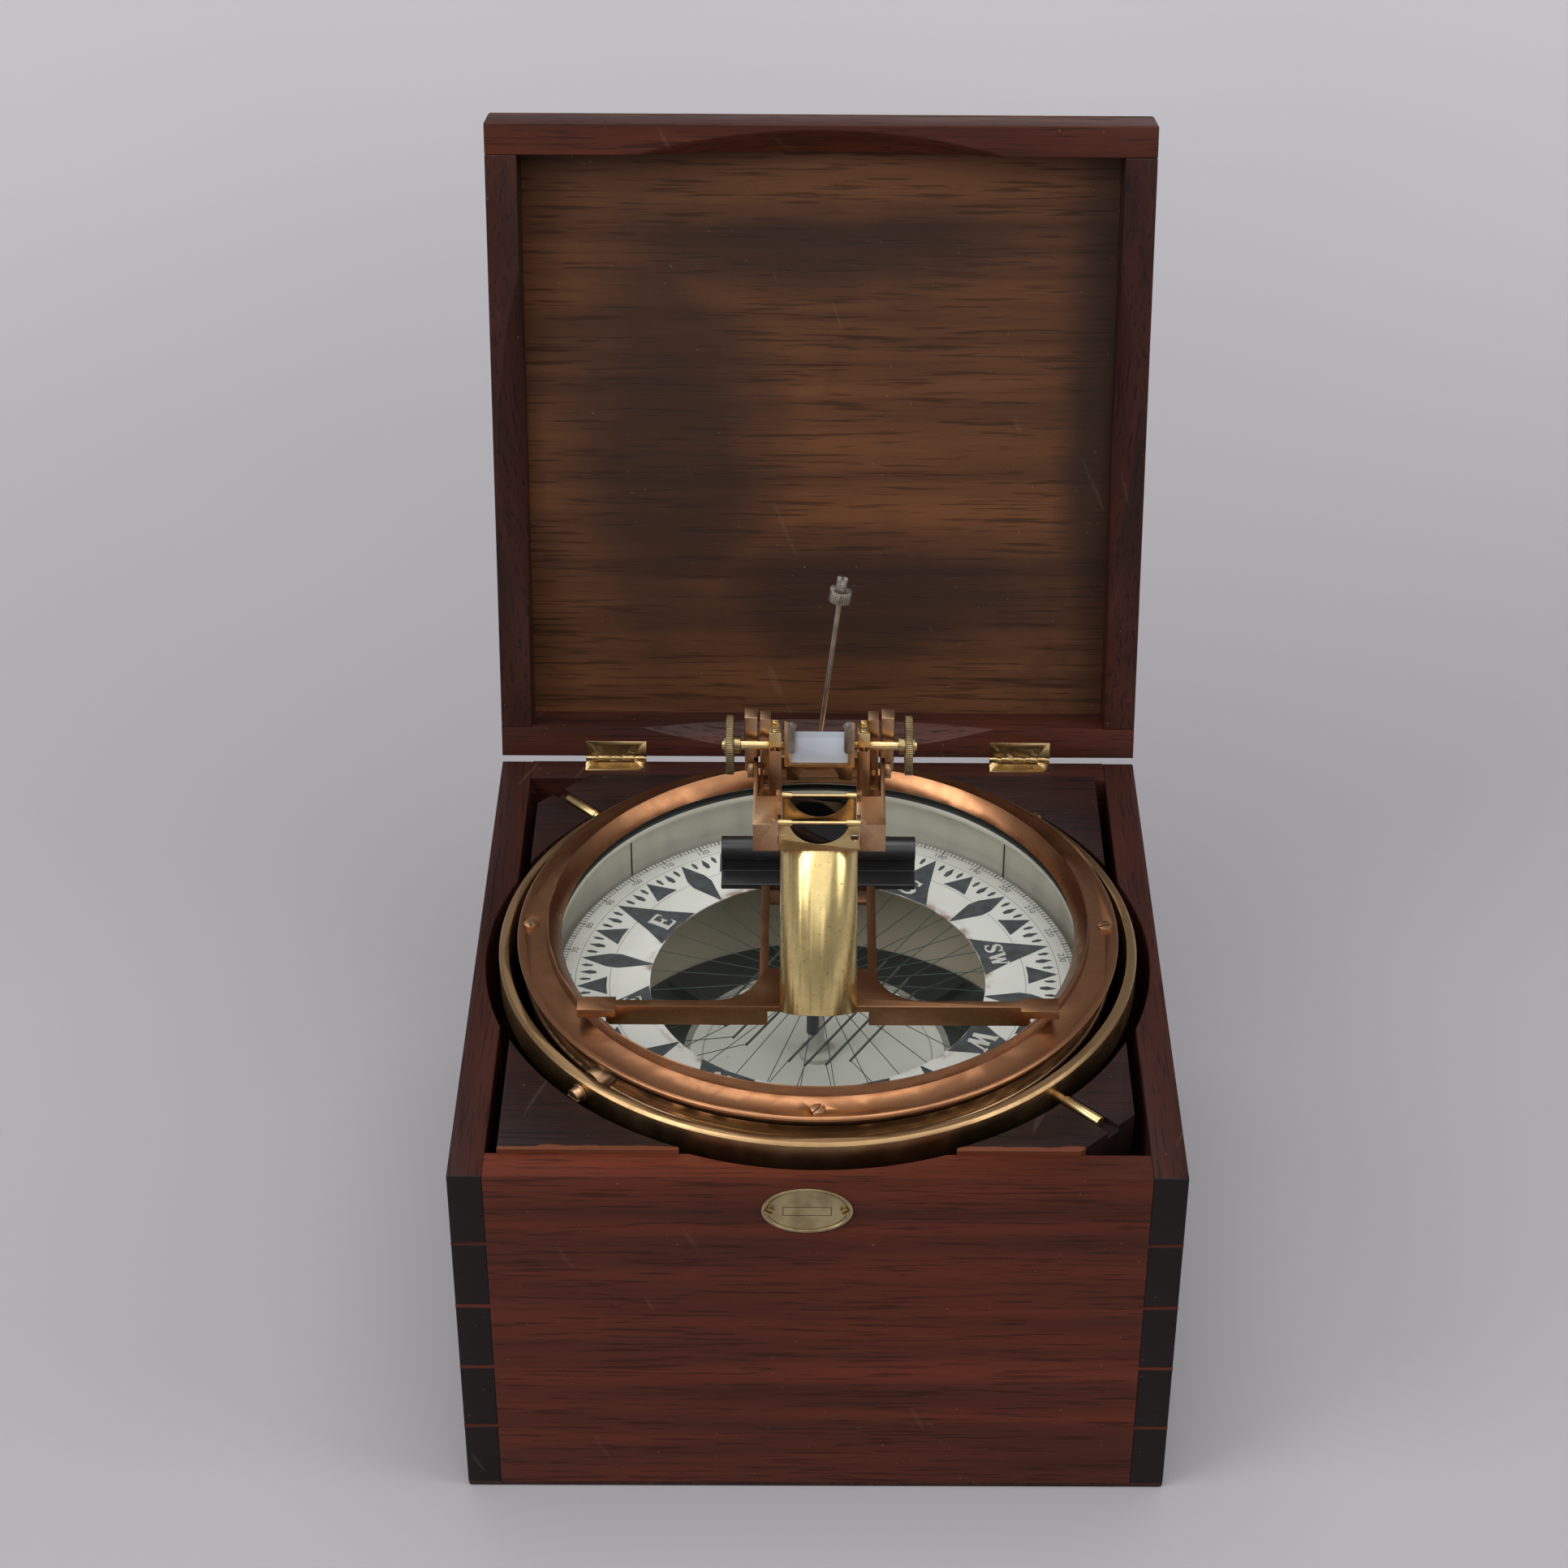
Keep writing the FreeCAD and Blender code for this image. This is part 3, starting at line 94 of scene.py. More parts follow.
# Floor
# A seamless pale grey sheet under the case, which takes its shadow.
# The sheet's own colour makes the pale background; it is painted paler with distance from the case, painted
# light for an evenly lit backdrop.
class Value:
    """A socket in a material's tree, so that shader maths reads as plain expressions."""

    def __init__(self, tree, socket):
        self.tree = tree
        self.socket = socket

    def node(self, kind, inputs, output=0, stops=None, **settings):
        """Any other node: its type, its settings, then the values or links of its sockets."""
        node = self.tree.nodes.new("ShaderNode" + kind)
        for name, value in settings.items():
            setattr(node, name, value)
        if stops:
            ramp = node.color_ramp
            while len(ramp.elements) < len(stops):
                ramp.elements.new(0.5)
            for element, (place, colour) in zip(ramp.elements, stops):
                element.position = place
                element.color = (*colour, 1.0)
        for key, value in inputs.items():
            if isinstance(value, Value):
                self.tree.links.new(value.socket, node.inputs[key])
            else:
                node.inputs[key].default_value = value
        return Value(self.tree, node.outputs[output])

    def math(self, operation, *others, clamp=False):
        inputs = {0: self}
        inputs.update({index + 1: other for index, other in enumerate(others)})
        return self.node("Math", inputs, operation=operation, use_clamp=clamp)

    def __add__(self, other):
        return self.math("ADD", other)

    def __sub__(self, other):
        return self.math("SUBTRACT", other)

    def __rsub__(self, other):
        return self.node("Math", {0: other, 1: self}, operation="SUBTRACT")

    def __mul__(self, other):
        return self.math("MULTIPLY", other)

    def __truediv__(self, other):
        return self.math("DIVIDE", other)

    __radd__ = __add__
    __rmul__ = __mul__

    def part(self, index):
        """One of a vector's three numbers."""
        return self.node("SeparateXYZ", {0: self}, output=index)

    def absolute(self):
        return self.math("ABSOLUTE")

    def less(self, point):
        """The vector from a point to here."""
        return self.node("VectorMath", {0: self, 1: point}, operation="SUBTRACT")

    def times(self, factors):
        """The vector with each of its three numbers multiplied by its own factor."""
        return self.node("VectorMath", {0: self, 1: factors}, operation="MULTIPLY")

    def length(self):
        return self.node("VectorMath", {0: self}, output="Value", operation="LENGTH")

    def off_axis(self):
        """Distance from the upright axis of the compass."""
        return self.times((1.0, 1.0, 0.0)).length()

    def stretched(self, scale, turn=(0.0, 0.0, 0.0)):
        """The coordinates turned and then scaled along each axis."""
        return self.node("Mapping", {"Vector": self, "Rotation": turn}).times(scale)

    def noise(self, scale, detail=3.0, roughness=0.5, distortion=0.0):
        inputs = {"Vector": self, "Scale": scale, "Detail": detail, "Roughness": roughness,
                  "Distortion": distortion}
        return self.node("TexNoise", inputs)

    def step(self, low, high):
        """0 below low, 1 above high, smooth between."""
        inputs = {"Value": self, "From Min": low, "From Max": high}
        return self.node("MapRange", inputs, interpolation_type="SMOOTHSTEP")

    def ramp(self, *stops):
        return self.node("ValToRGB", {0: self}, stops=stops)

    def mixed(self, first, second):
        """Colour that goes from first to second as this value goes from 0 to 1."""
        inputs = {0: self}
        for key, colour in ((6, first), (7, second)):
            inputs[key] = colour if isinstance(colour, Value) else (*colour, 1.0)
        return self.node("Mix", inputs, output=2, data_type="RGBA")


def new_finish(name, roughness, metallic=0.0, **constants):
    """A material with constants on its shader; gives the material, its shader and Object coordinates."""
    material = bpy.data.materials.new(name)
    material.use_nodes = True
    shader = material.node_tree.nodes["Principled BSDF"]
    shader.inputs["Roughness"].default_value = roughness
    shader.inputs["Metallic"].default_value = metallic
    for key, value in constants.items():
        shader.inputs[key.replace("_", " ")].default_value = value
    coordinates = material.node_tree.nodes.new("ShaderNodeTexCoord")
    return material, shader, Value(material.node_tree, coordinates.outputs["Object"])


def feed(shader, socket, value):
    """Link a value to one of the shader's own sockets."""
    value.tree.links.new(value.socket, shader.inputs[socket])


floor_size = 40.0
floor_mesh = bmesh.new()
bmesh.ops.create_grid(floor_mesh, x_segments=1, y_segments=1, size=floor_size / 2)
floor_data = bpy.data.meshes.new("floor")
floor_mesh.to_mesh(floor_data)
floor_mesh.free()
floor = bpy.data.objects.new("floor", floor_data)
scene.collection.objects.link(floor)
floor_finish, floor_shader, floor_place = new_finish("floor_sheet", 0.8)
floor_cloud = floor_place.noise(0.9, detail=2.0).step(0.3, 0.7)
floor_near = floor_cloud.mixed((0.330, 0.320, 0.334), (0.350, 0.340, 0.354))
floor_far_painted_light = floor_cloud.mixed((0.720, 0.704, 0.734), (0.750, 0.734, 0.764))
# Painted light: the sheet's colour grows paler away from the case, where the lamps reach less.
feed(floor_shader, "Base Color", floor_place.length().step(0.5, 2.6).mixed(floor_near, floor_far_painted_light))
floor_data.materials.append(floor_finish)
world = bpy.data.worlds.new("studio")
scene.world = world
world.use_nodes = True
sky = world.node_tree.nodes["Background"]
sky.inputs["Color"].default_value = (0.80, 0.80, 0.84, 1.0)
sky.inputs["Strength"].default_value = 0.34


# Case
# A mahogany box, its front and back boards held to the sides by wide dovetails with slim pins between them.
# Oiled and handled for decades: edges rubbed round, end grain nearly black, long scratches on the faces.
MM = 0.001
weld_distance = 0.000002
flat_angle = math.radians(0.6)
edge_angle = math.radians(35)


def bumped(shader, height, strength, distance):
    """Let a height value shape the surface's normal."""
    bump = height.node("Bump", {"Height": height, "Strength": strength, "Distance": distance})
    feed(shader, "Normal", bump)


def mahogany(name, base, dark, grain, pore_scale=1.0, roughness=0.42, end_grain=None, smudge_colour=None,
             soiled=(), worn=None):
    """Wood finish; grain is the axis, 0 to 2, that the pores run along, soiled its dark patches' places and
    spreads, and worn an axis, limit, sign and colour where the edge has lost its oil."""
    material, shader, place = new_finish(name, roughness, Specular_IOR_Level=0.15)
    along = [1.0, 1.0, 1.0]
    along[grain] = 0.045
    long = place.stretched(along)
    figure = long.noise(44, detail=4.0, distortion=0.5)
    bands = long.noise(90, detail=3.0)
    pores = long.noise(620 * pore_scale, detail=2.0, roughness=0.7)
    cloud = place.noise(7, detail=4.0)
    lines = pores.step(0.52, 0.66)
    tone = figure.step(0.3, 0.7) * 0.55 + bands.step(0.35, 0.7) * 0.25 + cloud.step(0.3, 0.75) * 0.2
    middle = [(a + b) / 2 for a, b in zip(base, dark)]
    colour = tone.ramp((0.1, dark), (0.5, middle), (0.9, base))
    colour = (lines * 0.62).mixed(colour, [c * 0.28 for c in dark])
    if soiled:
        ragged = place.noise(13, detail=5.0, roughness=0.6, distortion=0.6)
        patch = ragged.step(0.56, 0.74) * 0.5
        for centre, spread in soiled:
            away = place.less(centre).times(tuple(1 / s for s in spread)).length() + ragged * 0.9
            patch = patch.math("MAXIMUM", 1.0 - away.step(0.75, 1.65))
        colour = (patch * 0.8).mixed(colour, smudge_colour)
    if worn:
        axis, limit, sign, bare = worn
        ragged_edge = (place.noise(70, detail=4.0) - 0.5) * 0.006
        rubbed = (place.part(axis) * sign + ragged_edge).step(limit - 0.0008, limit)
        colour = (rubbed * 0.7).mixed(colour, bare)
    if end_grain:
        axis, limit, sign = end_grain
        reach = place.part(axis) * sign
        black = reach.step(limit - 0.0002, limit + 0.0002)
        colour = (black * 0.93).mixed(colour, (0.0085, 0.0060, 0.0060))
    scratch = place.stretched((1.0, 0.08, 0.16), turn=(0.4, 0.3, 0.5)).noise(160, detail=1.0).step(0.74, 0.78)
    speck = place.noise(420, detail=1.0).step(0.775, 0.80)
    colour = (scratch * 0.05 + speck * 0.2).mixed(colour, (0.30, 0.22, 0.17))
    feed(shader, "Base Color", colour)
    feed(shader, "Roughness", cloud * 0.16 + lines * 0.16 + (roughness - 0.12))
    bumped(shader, tone * 0.2 - lines, 0.35, 0.0002)
    return material


def softened(node, finish, width_mm=0.5, segments=2):
    """A copy of a construction piece with rubbed edges, which stands for it."""
    source = frame["nodes"][node]
    data = source.data.copy()
    shell = bmesh.new()
    shell.from_mesh(data)
    bmesh.ops.remove_doubles(shell, verts=shell.verts, dist=weld_distance)
    bmesh.ops.dissolve_limit(shell, angle_limit=flat_angle, verts=shell.verts, edges=shell.edges)
    shell.to_mesh(data)
    shell.free()
    data.materials.clear()
    data.materials.append(finish)
    data.shade_smooth()
    piece = bpy.data.objects.new(node + "_dressed", data)
    scene.collection.objects.link(piece)
    bevel = piece.modifiers.new("edges", "BEVEL")
    bevel.width = width_mm * MM
    bevel.segments = segments
    bevel.limit_method = "ANGLE"
    bevel.angle_limit = edge_angle
    bevel.use_clamp_overlap = True
    bevel.harden_normals = True
    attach(piece, next(b for b, nodes in frame["record"]["behaviour"]["bodies"].items() if node in nodes))
    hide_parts(node)


front_face = -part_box("case_front")[0][1]
# The sides, base and back are darker copies of the front's mahogany: painted shade.
front_red = (0.112, 0.0225, 0.0100)
front_dark = (0.050, 0.0125, 0.0065)
shaded_side_red = (0.046, 0.0130, 0.0088)
shaded_side_dark = (0.018, 0.0072, 0.0058)
front_wood = mahogany("front_mahogany", front_red, front_dark, 0)
shaded_side_wood = mahogany("side_mahogany", shaded_side_red, shaded_side_dark, 1)
shaded_back_wood = mahogany("back_mahogany", (0.058, 0.0150, 0.0088), (0.021, 0.0080, 0.0060), 0)
shaded_side_ends_front = mahogany("side_mahogany_ends", shaded_side_red, shaded_side_dark, 1,
                           end_grain=(1, front_face - 0.0007, -1.0))
block_red = (0.024, 0.0090, 0.0070)
block_dark = (0.011, 0.0058, 0.0050)
block_wood = mahogany("block_mahogany", block_red, block_dark, 0, roughness=0.5)
softened("case_front", front_wood, 0.5, 3)
softened("case_back", shaded_back_wood, 0.5, 3)
softened("case_left", shaded_side_ends_front, 0.7, 3)
softened("case_right", shaded_side_ends_front, 0.7, 3)
softened("case_base", shaded_side_wood, 2.2, 4)
bare_wood = (0.150, 0.042, 0.016)
block_edge = -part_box("block_front_left")[0][1]
front_block_wood = mahogany("front_block_mahogany", block_red, block_dark, 0, roughness=0.5,
                            worn=(1, block_edge - 0.0022, -1.0, bare_wood))
for block in ("block_front_left", "block_front_right"):
    softened(block, front_block_wood, 0.6, 2)
for block in ("block_back_left", "block_back_right"):
    softened(block, block_wood, 0.6, 2)

# Lid
# Four rails and a flat panel of the same wood, less oiled inside, so that its brown shows with dark smudges.
# The rails are hollowed by shallow arcs where the lid passes over the ring.
rail_red = (0.092, 0.0220, 0.0105)
rail_dark = (0.036, 0.0108, 0.0070)
panel_brown = (0.128, 0.050, 0.0190)
panel_dark = (0.052, 0.0215, 0.0105)
panel_low, panel_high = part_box("lid_panel")
lid_middle = (panel_low[2] + panel_high[2]) / 2
panel_patches = [((-0.078, 0.23, lid_middle - 0.005), (0.062, 1.0, 0.130)),
                 ((0.030, 0.23, lid_middle - 0.085), (0.135, 1.0, 0.042)),
                 ((0.145, 0.23, lid_middle), (0.024, 1.0, 0.190)),
                 ((-0.010, 0.23, lid_middle + 0.095), (0.120, 1.0, 0.030))]
panel_wood = mahogany("panel_mahogany", panel_brown, panel_dark, 0, pore_scale=0.8, roughness=0.5,
                      smudge_colour=(0.0200, 0.0110, 0.0082), soiled=panel_patches)
rail_wood = mahogany("rail_mahogany", rail_red, rail_dark, 0)
# The side rails are a darker copy of the rails' mahogany, and the back rail takes the back boards' darker
# copy: painted shade.
shaded_rail_side_wood = mahogany("rail_side_mahogany", (0.044, 0.0125, 0.0080), (0.019, 0.0075, 0.0058), 2)
softened("lid_front_rail", rail_wood, 0.8, 3)
softened("lid_back_rail", shaded_back_wood, 0.6, 3)
softened("lid_left_rail", shaded_rail_side_wood, 0.6, 3)
softened("lid_right_rail", shaded_rail_side_wood, 0.6, 3)
softened("lid_panel", panel_wood, 1.2, 3)

# Brasswork
# Castings and turned parts of brass and bronze: the tube is bright, the bezel and frame are toned brown,
# and all of it carries fine machining lines, dark specks and paler rubbed places.
def metal(name, base, toned, roughness=0.3, tone_scale=22, speck=0.0, lines=None, line_scale=900, amount=0.6):
    """Copper-alloy finish; lines is the stretch of its machining marks, if it has any."""
    material, shader, place = new_finish(name, roughness, metallic=1.0)
    cloud = place.noise(tone_scale, detail=5.0, roughness=0.62, distortion=0.4)
    fine = place.noise(tone_scale * 9, detail=3.0)
    tone = cloud.step(0.32, 0.68) * 0.7 + fine.step(0.3, 0.7) * 0.3
    colour = (tone * amount).mixed(base, toned)
    if speck:
        spots = place.noise(780, detail=2.0, roughness=0.6).step(0.66, 0.72)
        larger = place.noise(230, detail=3.0).step(0.68, 0.75)
        colour = (spots * speck + larger * (speck * 0.6)).mixed(colour, [c * 0.22 for c in toned])
    feed(shader, "Base Color", colour)
    feed(shader, "Roughness", tone * 0.16 + (roughness - 0.06))
    if lines:
        bumped(shader, place.stretched(lines).noise(line_scale, detail=2.0), 0.18, 0.00006)
    else:
        bumped(shader, fine, 0.12, 0.00008)
    return material


def dressed(node, finish):
    """Give a construction piece that keeps its own mesh a better finish."""
    piece = frame["nodes"][node]
    piece.data.materials.clear()
    piece.data.materials.append(finish)


tube_brass = metal("tube_brass", (0.72, 0.56, 0.25), (0.50, 0.37, 0.15), 0.24, speck=0.75,
                   lines=(1.0, 0.25, 0.25))
ring_brass = metal("ring_brass", (0.42, 0.27, 0.13), (0.24, 0.135, 0.070), 0.34, speck=0.2)
bright_brass = metal("bright_brass", (0.66, 0.49, 0.23), (0.42, 0.28, 0.13), 0.27, speck=0.3)
bezel_copper = metal("bezel_copper", (0.37, 0.175, 0.082), (0.165, 0.076, 0.040), 0.31, tone_scale=14,
                     amount=0.75)
frame_bronze = metal("frame_bronze", (0.38, 0.195, 0.095), (0.19, 0.105, 0.055), 0.36, tone_scale=60,
                     speck=0.3)
head_bronze = metal("head_bronze", (0.52, 0.32, 0.18), (0.28, 0.165, 0.095), 0.33, tone_scale=70, speck=0.3)
softened("gimbal_ring", ring_brass, 0.25, 2)
softened("ring_pins", bright_brass, 0.3, 2)
softened("pivot_screws", head_bronze, 0.25, 2)
softened("bezel_ring", bezel_copper, 0.15, 2)
softened("bezel_screws", head_bronze, 0.2, 2)
softened("azimuth_frame", frame_bronze, 0.35, 2)
softened("tube", tube_brass, 0.2, 2)
softened("head_frame", head_bronze, 0.25, 2)
softened("bearing_caps", bright_brass, 0.25, 2)
softened("cap_screws", bright_brass, 0.12, 1)
softened("sight_arms", head_bronze, 0.3, 2)
softened("spindle", bright_brass, 0.2, 2)
softened("front_shade_frame", bright_brass, 0.12, 2)
softened("rear_shade_frame", bright_brass, 0.12, 2)
hinge_brass = metal("hinge_brass", (0.40, 0.28, 0.13), (0.20, 0.135, 0.070), 0.3, tone_scale=60, speck=0.4)
for node in ("case_hinge_leaves", "lid_hinge_leaves"):
    softened(node, hinge_brass, 0.12, 1)
for node in ("case_screws", "lid_hinge_screws"):
    dressed(node, hinge_brass)
for node in ("hinge_pins", "shade_pins", "post_nut"):
    dressed(node, bright_brass)

# Bowl
# Spun brass, toned brown outside; inside it is cream, painted beige towards the bottom as shade deep in the
# bowl, with a green-black floor ring.
# Four fine black lubber lines are painted on the cream wall, and iron weights inside keep the bowl upright.
card_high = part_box("card_ring")[1]
window_low, window_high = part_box("bottom_window")
centre_above_card = 0.0183
window_above_floor = 0.0165
wall_past_card = 0.0068
bowl_centre_z = card_high[2] + centre_above_card
floor_level = window_low[2] - window_above_floor
window_edge = window_high[0]
inner_wall = card_high[0] + wall_past_card
bowl_brass, bowl_shader, bowl_place = new_finish("bowl_brass", 0.36, metallic=1.0)
out_from_axis = bowl_place.off_axis()
height = bowl_place.part(2)
swing = bowl_place.less((0.0, 0.0, bowl_centre_z)).length()
above_floor = height.step(floor_level - 0.0006, floor_level - 0.0004)
within_wall = 1.0 - out_from_axis.step(inner_wall + 0.0010, inner_wall + 0.0012)
within_swing = 1.0 - swing.step(inner_wall + 0.0088, inner_wall + 0.0092)
round_window = out_from_axis.step(window_edge - 0.0006, window_edge - 0.0004)
painted = above_floor * within_wall * within_swing * round_window
paint_cloud = bowl_place.noise(14, detail=4.0).step(0.3, 0.7)
cream = paint_cloud.mixed((0.640, 0.620, 0.520), (0.720, 0.700, 0.600))
cream_painted_shade = paint_cloud.mixed((0.440, 0.385, 0.270), (0.540, 0.480, 0.350))
# Painted shade: the cream wall turns beige towards the bottom of the bowl.
paint_and_painted_shade = height.step(bowl_centre_z - 0.060, bowl_centre_z - 0.020).mixed(cream_painted_shade, cream)
floor_tone = bowl_place.noise(55, detail=5.0).step(0.35, 0.75)
floor_paint = floor_tone.mixed((0.020, 0.027, 0.023), (0.040, 0.050, 0.043))
paint_and_painted_shade = height.step(floor_level + 0.0010, floor_level + 0.0014).mixed(floor_paint, paint_and_painted_shade)
bowl_tone = bowl_place.noise(16, detail=5.0, distortion=0.4).step(0.3, 0.7)
bowl_metal = bowl_tone.mixed((0.50, 0.33, 0.18), (0.27, 0.16, 0.09))
feed(bowl_shader, "Base Color", painted.mixed(bowl_metal, paint_and_painted_shade))
feed(bowl_shader, "Metallic", 1.0 - painted)
feed(bowl_shader, "Roughness", painted * 0.22 + bowl_tone * 0.1 + 0.30)
softened("bowl_body", bowl_brass, 0.2, 1)
dressed("lubber_lines", new_finish("line_black", 0.6, Base_Color=(0.020, 0.020, 0.020, 1.0))[0])
ballast_iron = metal("ballast_iron", (0.125, 0.125, 0.135), (0.085, 0.080, 0.080), 0.5, speck=0.2)
dressed("ballast_weights", ballast_iron)

# Bottom window
# A frosted white glass disc in the floor, held by a thin painted ring.
# The pivot post stands in its middle, held by a nut, and ends in a steel point for the card.
def mottled(name, roughness, scale, first, second, low=0.3, high=0.7, detail=3.0, **constants):
    """Plain finish whose colour drifts between two near tones."""
    material, shader, place = new_finish(name, roughness, **constants)
    feed(shader, "Base Color", place.noise(scale, detail=detail).step(low, high).mixed(first, second))
    return material


frosted, frosted_shader, frosted_place = new_finish("frosted_glass", 0.55)
frost_out = frosted_place.off_axis()
frost_cloud = frosted_place.noise(11, detail=4.0).step(0.3, 0.75)
frost_specks = frosted_place.noise(210, detail=1.0).step(0.77, 0.80)
frost_line = frost_out.step(0.0560, 0.0564) - frost_out.step(0.0569, 0.0573)
frost = frost_cloud.mixed((0.600, 0.615, 0.540), (0.680, 0.695, 0.610))
frost = (frost_line * 0.45 + frost_specks * 0.6).mixed(frost, (0.10, 0.10, 0.08))
feed(frosted_shader, "Base Color", frost)
dressed("bottom_window", frosted)
dressed("window_ring", mottled("seal_grey", 0.6, 60, (0.23, 0.235, 0.20), (0.33, 0.335, 0.29)))
dressed("pivot_post", mottled("post_paint", 0.5, 120, (0.42, 0.43, 0.37), (0.52, 0.53, 0.46)))
dressed("pivot_point", metal("point_steel", (0.50, 0.50, 0.48), (0.33, 0.33, 0.31), 0.26, tone_scale=90))

# Card
# A ring of white card on a light alloy rim, hung on silk threads from a jewelled hub over magnet needles.
# Its rose is printed in slate black: a degree scale, figures every ten degrees, points with white letters.
paper_top = card_high[2]
paper_width = 0.0457
paper_inner = card_high[0] - paper_width
print_lift = 0.00003
letter_lift = 0.00006
stroke_lift = 0.000006
north = math.radians(-148.9)
rose_tip = 0.1172
rose_shoulder = 0.1010
rose_foot = paper_inner + 0.0003
figure_radius = 0.1213
scale_inner = 0.1243
scale_outer = 0.1269
line_width = 0.00022
point_angle = 11.25
letter_radius = 0.0905
letter_pitch = 0.0092
single_letter = 0.0120
paired_letter = 0.0088
figure_size = 0.0046


def on_card(bearing, radius, aside=0.0, lift=print_lift):
    """Point over the card: out along a bearing in degrees, then aside, clockwise, by a length."""
    turn = north + math.radians(bearing)
    out = Vector((math.sin(turn), math.cos(turn), 0))
    clockwise = Vector((math.cos(turn), -math.sin(turn), 0))
    return out * radius + clockwise * aside + Vector((0, 0, paper_top + lift))


def printed(shape, outline):
    """Add one flat face through an outline, facing up."""
    face = shape.faces.new([shape.verts.new(point) for point in outline])
    face.normal_update()
    if face.normal.z < 0:
        face.normal_flip()


def printed_arc(shape, radius, first=0, span=360, steps=360):
    """Thin printed line about the card's centre, over a span of degrees."""
    for index in range(steps):
        start = first + span * index / steps
        end = first + span * (index + 1) / steps
        printed(shape, [on_card(start, radius), on_card(end, radius),
                        on_card(end, radius + line_width), on_card(start, radius + line_width)])


def printed_point(shape, bearing, tip, flank, foot=None):
    """Point of the rose: its tip, the radius and half width at each corner of a flank, and its foot."""
    corners = [(tip, 0.0)] + flank
    if foot is not None:
        corners.append((foot, 0.0))
    corners += [(radius, -aside) for radius, aside in reversed(flank)]
    printed(shape, [on_card(bearing, radius, aside) for radius, aside in corners])


def brush_stroke(shape, bearing, radius, points, widths, scale, lift):
    """Chain of quads along points of a letter, centred on a bearing and a radius, tops outward."""
    path = [Vector(p) * scale for p in points]
    sides = []
    for index, point in enumerate(path):
        along = path[min(index + 1, len(path) - 1)] - path[max(index - 1, 0)]
        across = Vector((-along.y, along.x)).normalized() * (widths[index] * scale / 2)
        sides.append((point + across, point - across))
    for (a, b), (c, d) in zip(sides, sides[1:]):
        printed(shape, [on_card(bearing, radius + q.y, q.x, lift) for q in (a, c, d, b)])


# Each letter is 1 high and centred; a stroke is its points and its widths there.
thick, thin, serif = 0.24, 0.11, 0.09
s_curve = [(0.27, 0.24), (0.24, 0.37), (0.10, 0.46), (-0.08, 0.46), (-0.22, 0.37), (-0.27, 0.24),
           (-0.20, 0.11), (-0.02, 0.02), (0.18, -0.08), (0.27, -0.22), (0.22, -0.37), (0.07, -0.46),
           (-0.10, -0.46), (-0.24, -0.38), (-0.29, -0.22)]
s_widths = [0.05, 0.08, 0.10, 0.11, 0.17, 0.21, 0.24, 0.25, 0.24, 0.21, 0.17, 0.11, 0.10, 0.08, 0.05]
letters = {
    "N": [([(-0.30, -0.46), (-0.30, 0.46)], (thin, thin)), ([(0.30, -0.46), (0.30, 0.46)], (thin, thin)),
          ([(-0.32, 0.48), (0.30, -0.46)], (thick, thick)), ([(-0.46, 0.46), (-0.14, 0.46)], (serif, serif)),
          ([(-0.44, -0.46), (-0.16, -0.46)], (serif, serif)), ([(0.16, 0.46), (0.44, 0.46)], (serif, serif))],
    "E": [([(-0.18, -0.48), (-0.18, 0.48)], (thick, thick)), ([(-0.34, 0.44), (0.34, 0.44)], (thin, thin)),
          ([(-0.34, -0.44), (0.34, -0.44)], (thin, thin)), ([(-0.10, 0.0), (0.16, 0.0)], (thin, thin)),
          ([(0.31, 0.46), (0.35, 0.22)], (thin, 0.03)), ([(0.31, -0.46), (0.35, -0.22)], (thin, 0.03)),
          ([(0.16, 0.14), (0.16, -0.14)], (serif, serif))],
    "S": [(s_curve, s_widths), ([(0.29, 0.46), (0.28, 0.20)], (thin, thin)),
          ([(-0.30, -0.46), (-0.29, -0.20)], (thin, thin))],
    "W": [([(-0.44, 0.46), (-0.20, -0.46)], (thick, thick)), ([(-0.20, -0.46), (0.0, 0.40)], (thin, thin)),
          ([(0.0, 0.40), (0.20, -0.46)], (thick, thick)), ([(0.20, -0.46), (0.42, 0.46)], (thin, thin)),
          ([(-0.62, 0.46), (-0.28, 0.46)], (serif, serif)), ([(0.28, 0.46), (0.56, 0.46)], (serif, serif))],
}

rose = bmesh.new()
initials = bmesh.new()
for circle in (scale_inner, scale_outer, rose_tip + 0.0006):
    printed_arc(rose, circle)
for degree in range(360):
    heavy = 0.00038 if degree % 5 == 0 else 0.00024
    foot = scale_inner - (0.0009 if degree % 10 == 0 else 0.0)
    printed(rose, [on_card(degree, foot, -heavy), on_card(degree, scale_outer, -heavy),
                   on_card(degree, scale_outer, heavy), on_card(degree, foot, heavy)])
cardinal = [(rose_shoulder, 0.0062), (rose_shoulder - 0.008, 0.0092), (rose_foot - 0.0012, 0.0150)]
half_point = [(rose_shoulder + 0.003, 0.0052), (rose_shoulder - 0.003, 0.0056), (rose_foot, 0.0004)]
quarter_point = [(rose_shoulder + 0.0012, 0.0070)]
darts = ((2.8125, 0.1105, 0.0011), (5.625, 0.1080, 0.0016), (8.4375, 0.1105, 0.0011))
for point in range(32):
    bearing = point_angle * point
    if point % 4 == 0:
        printed_point(rose, bearing, rose_tip, cardinal, rose_foot)
    elif point % 2 == 0:
        printed_point(rose, bearing, rose_tip, half_point)
    else:
        printed_point(rose, bearing, rose_tip, quarter_point, rose_shoulder + 0.0016)
    for dart, low, wide in darts:
        printed_point(rose, bearing + dart, rose_tip - 0.0008, [(low + 0.0035, wide), (low, wide * 0.55)])
for index in range(16):
    printed_arc(rose, rose_shoulder, 22.5 * index + 3.4, 15.9, 12)
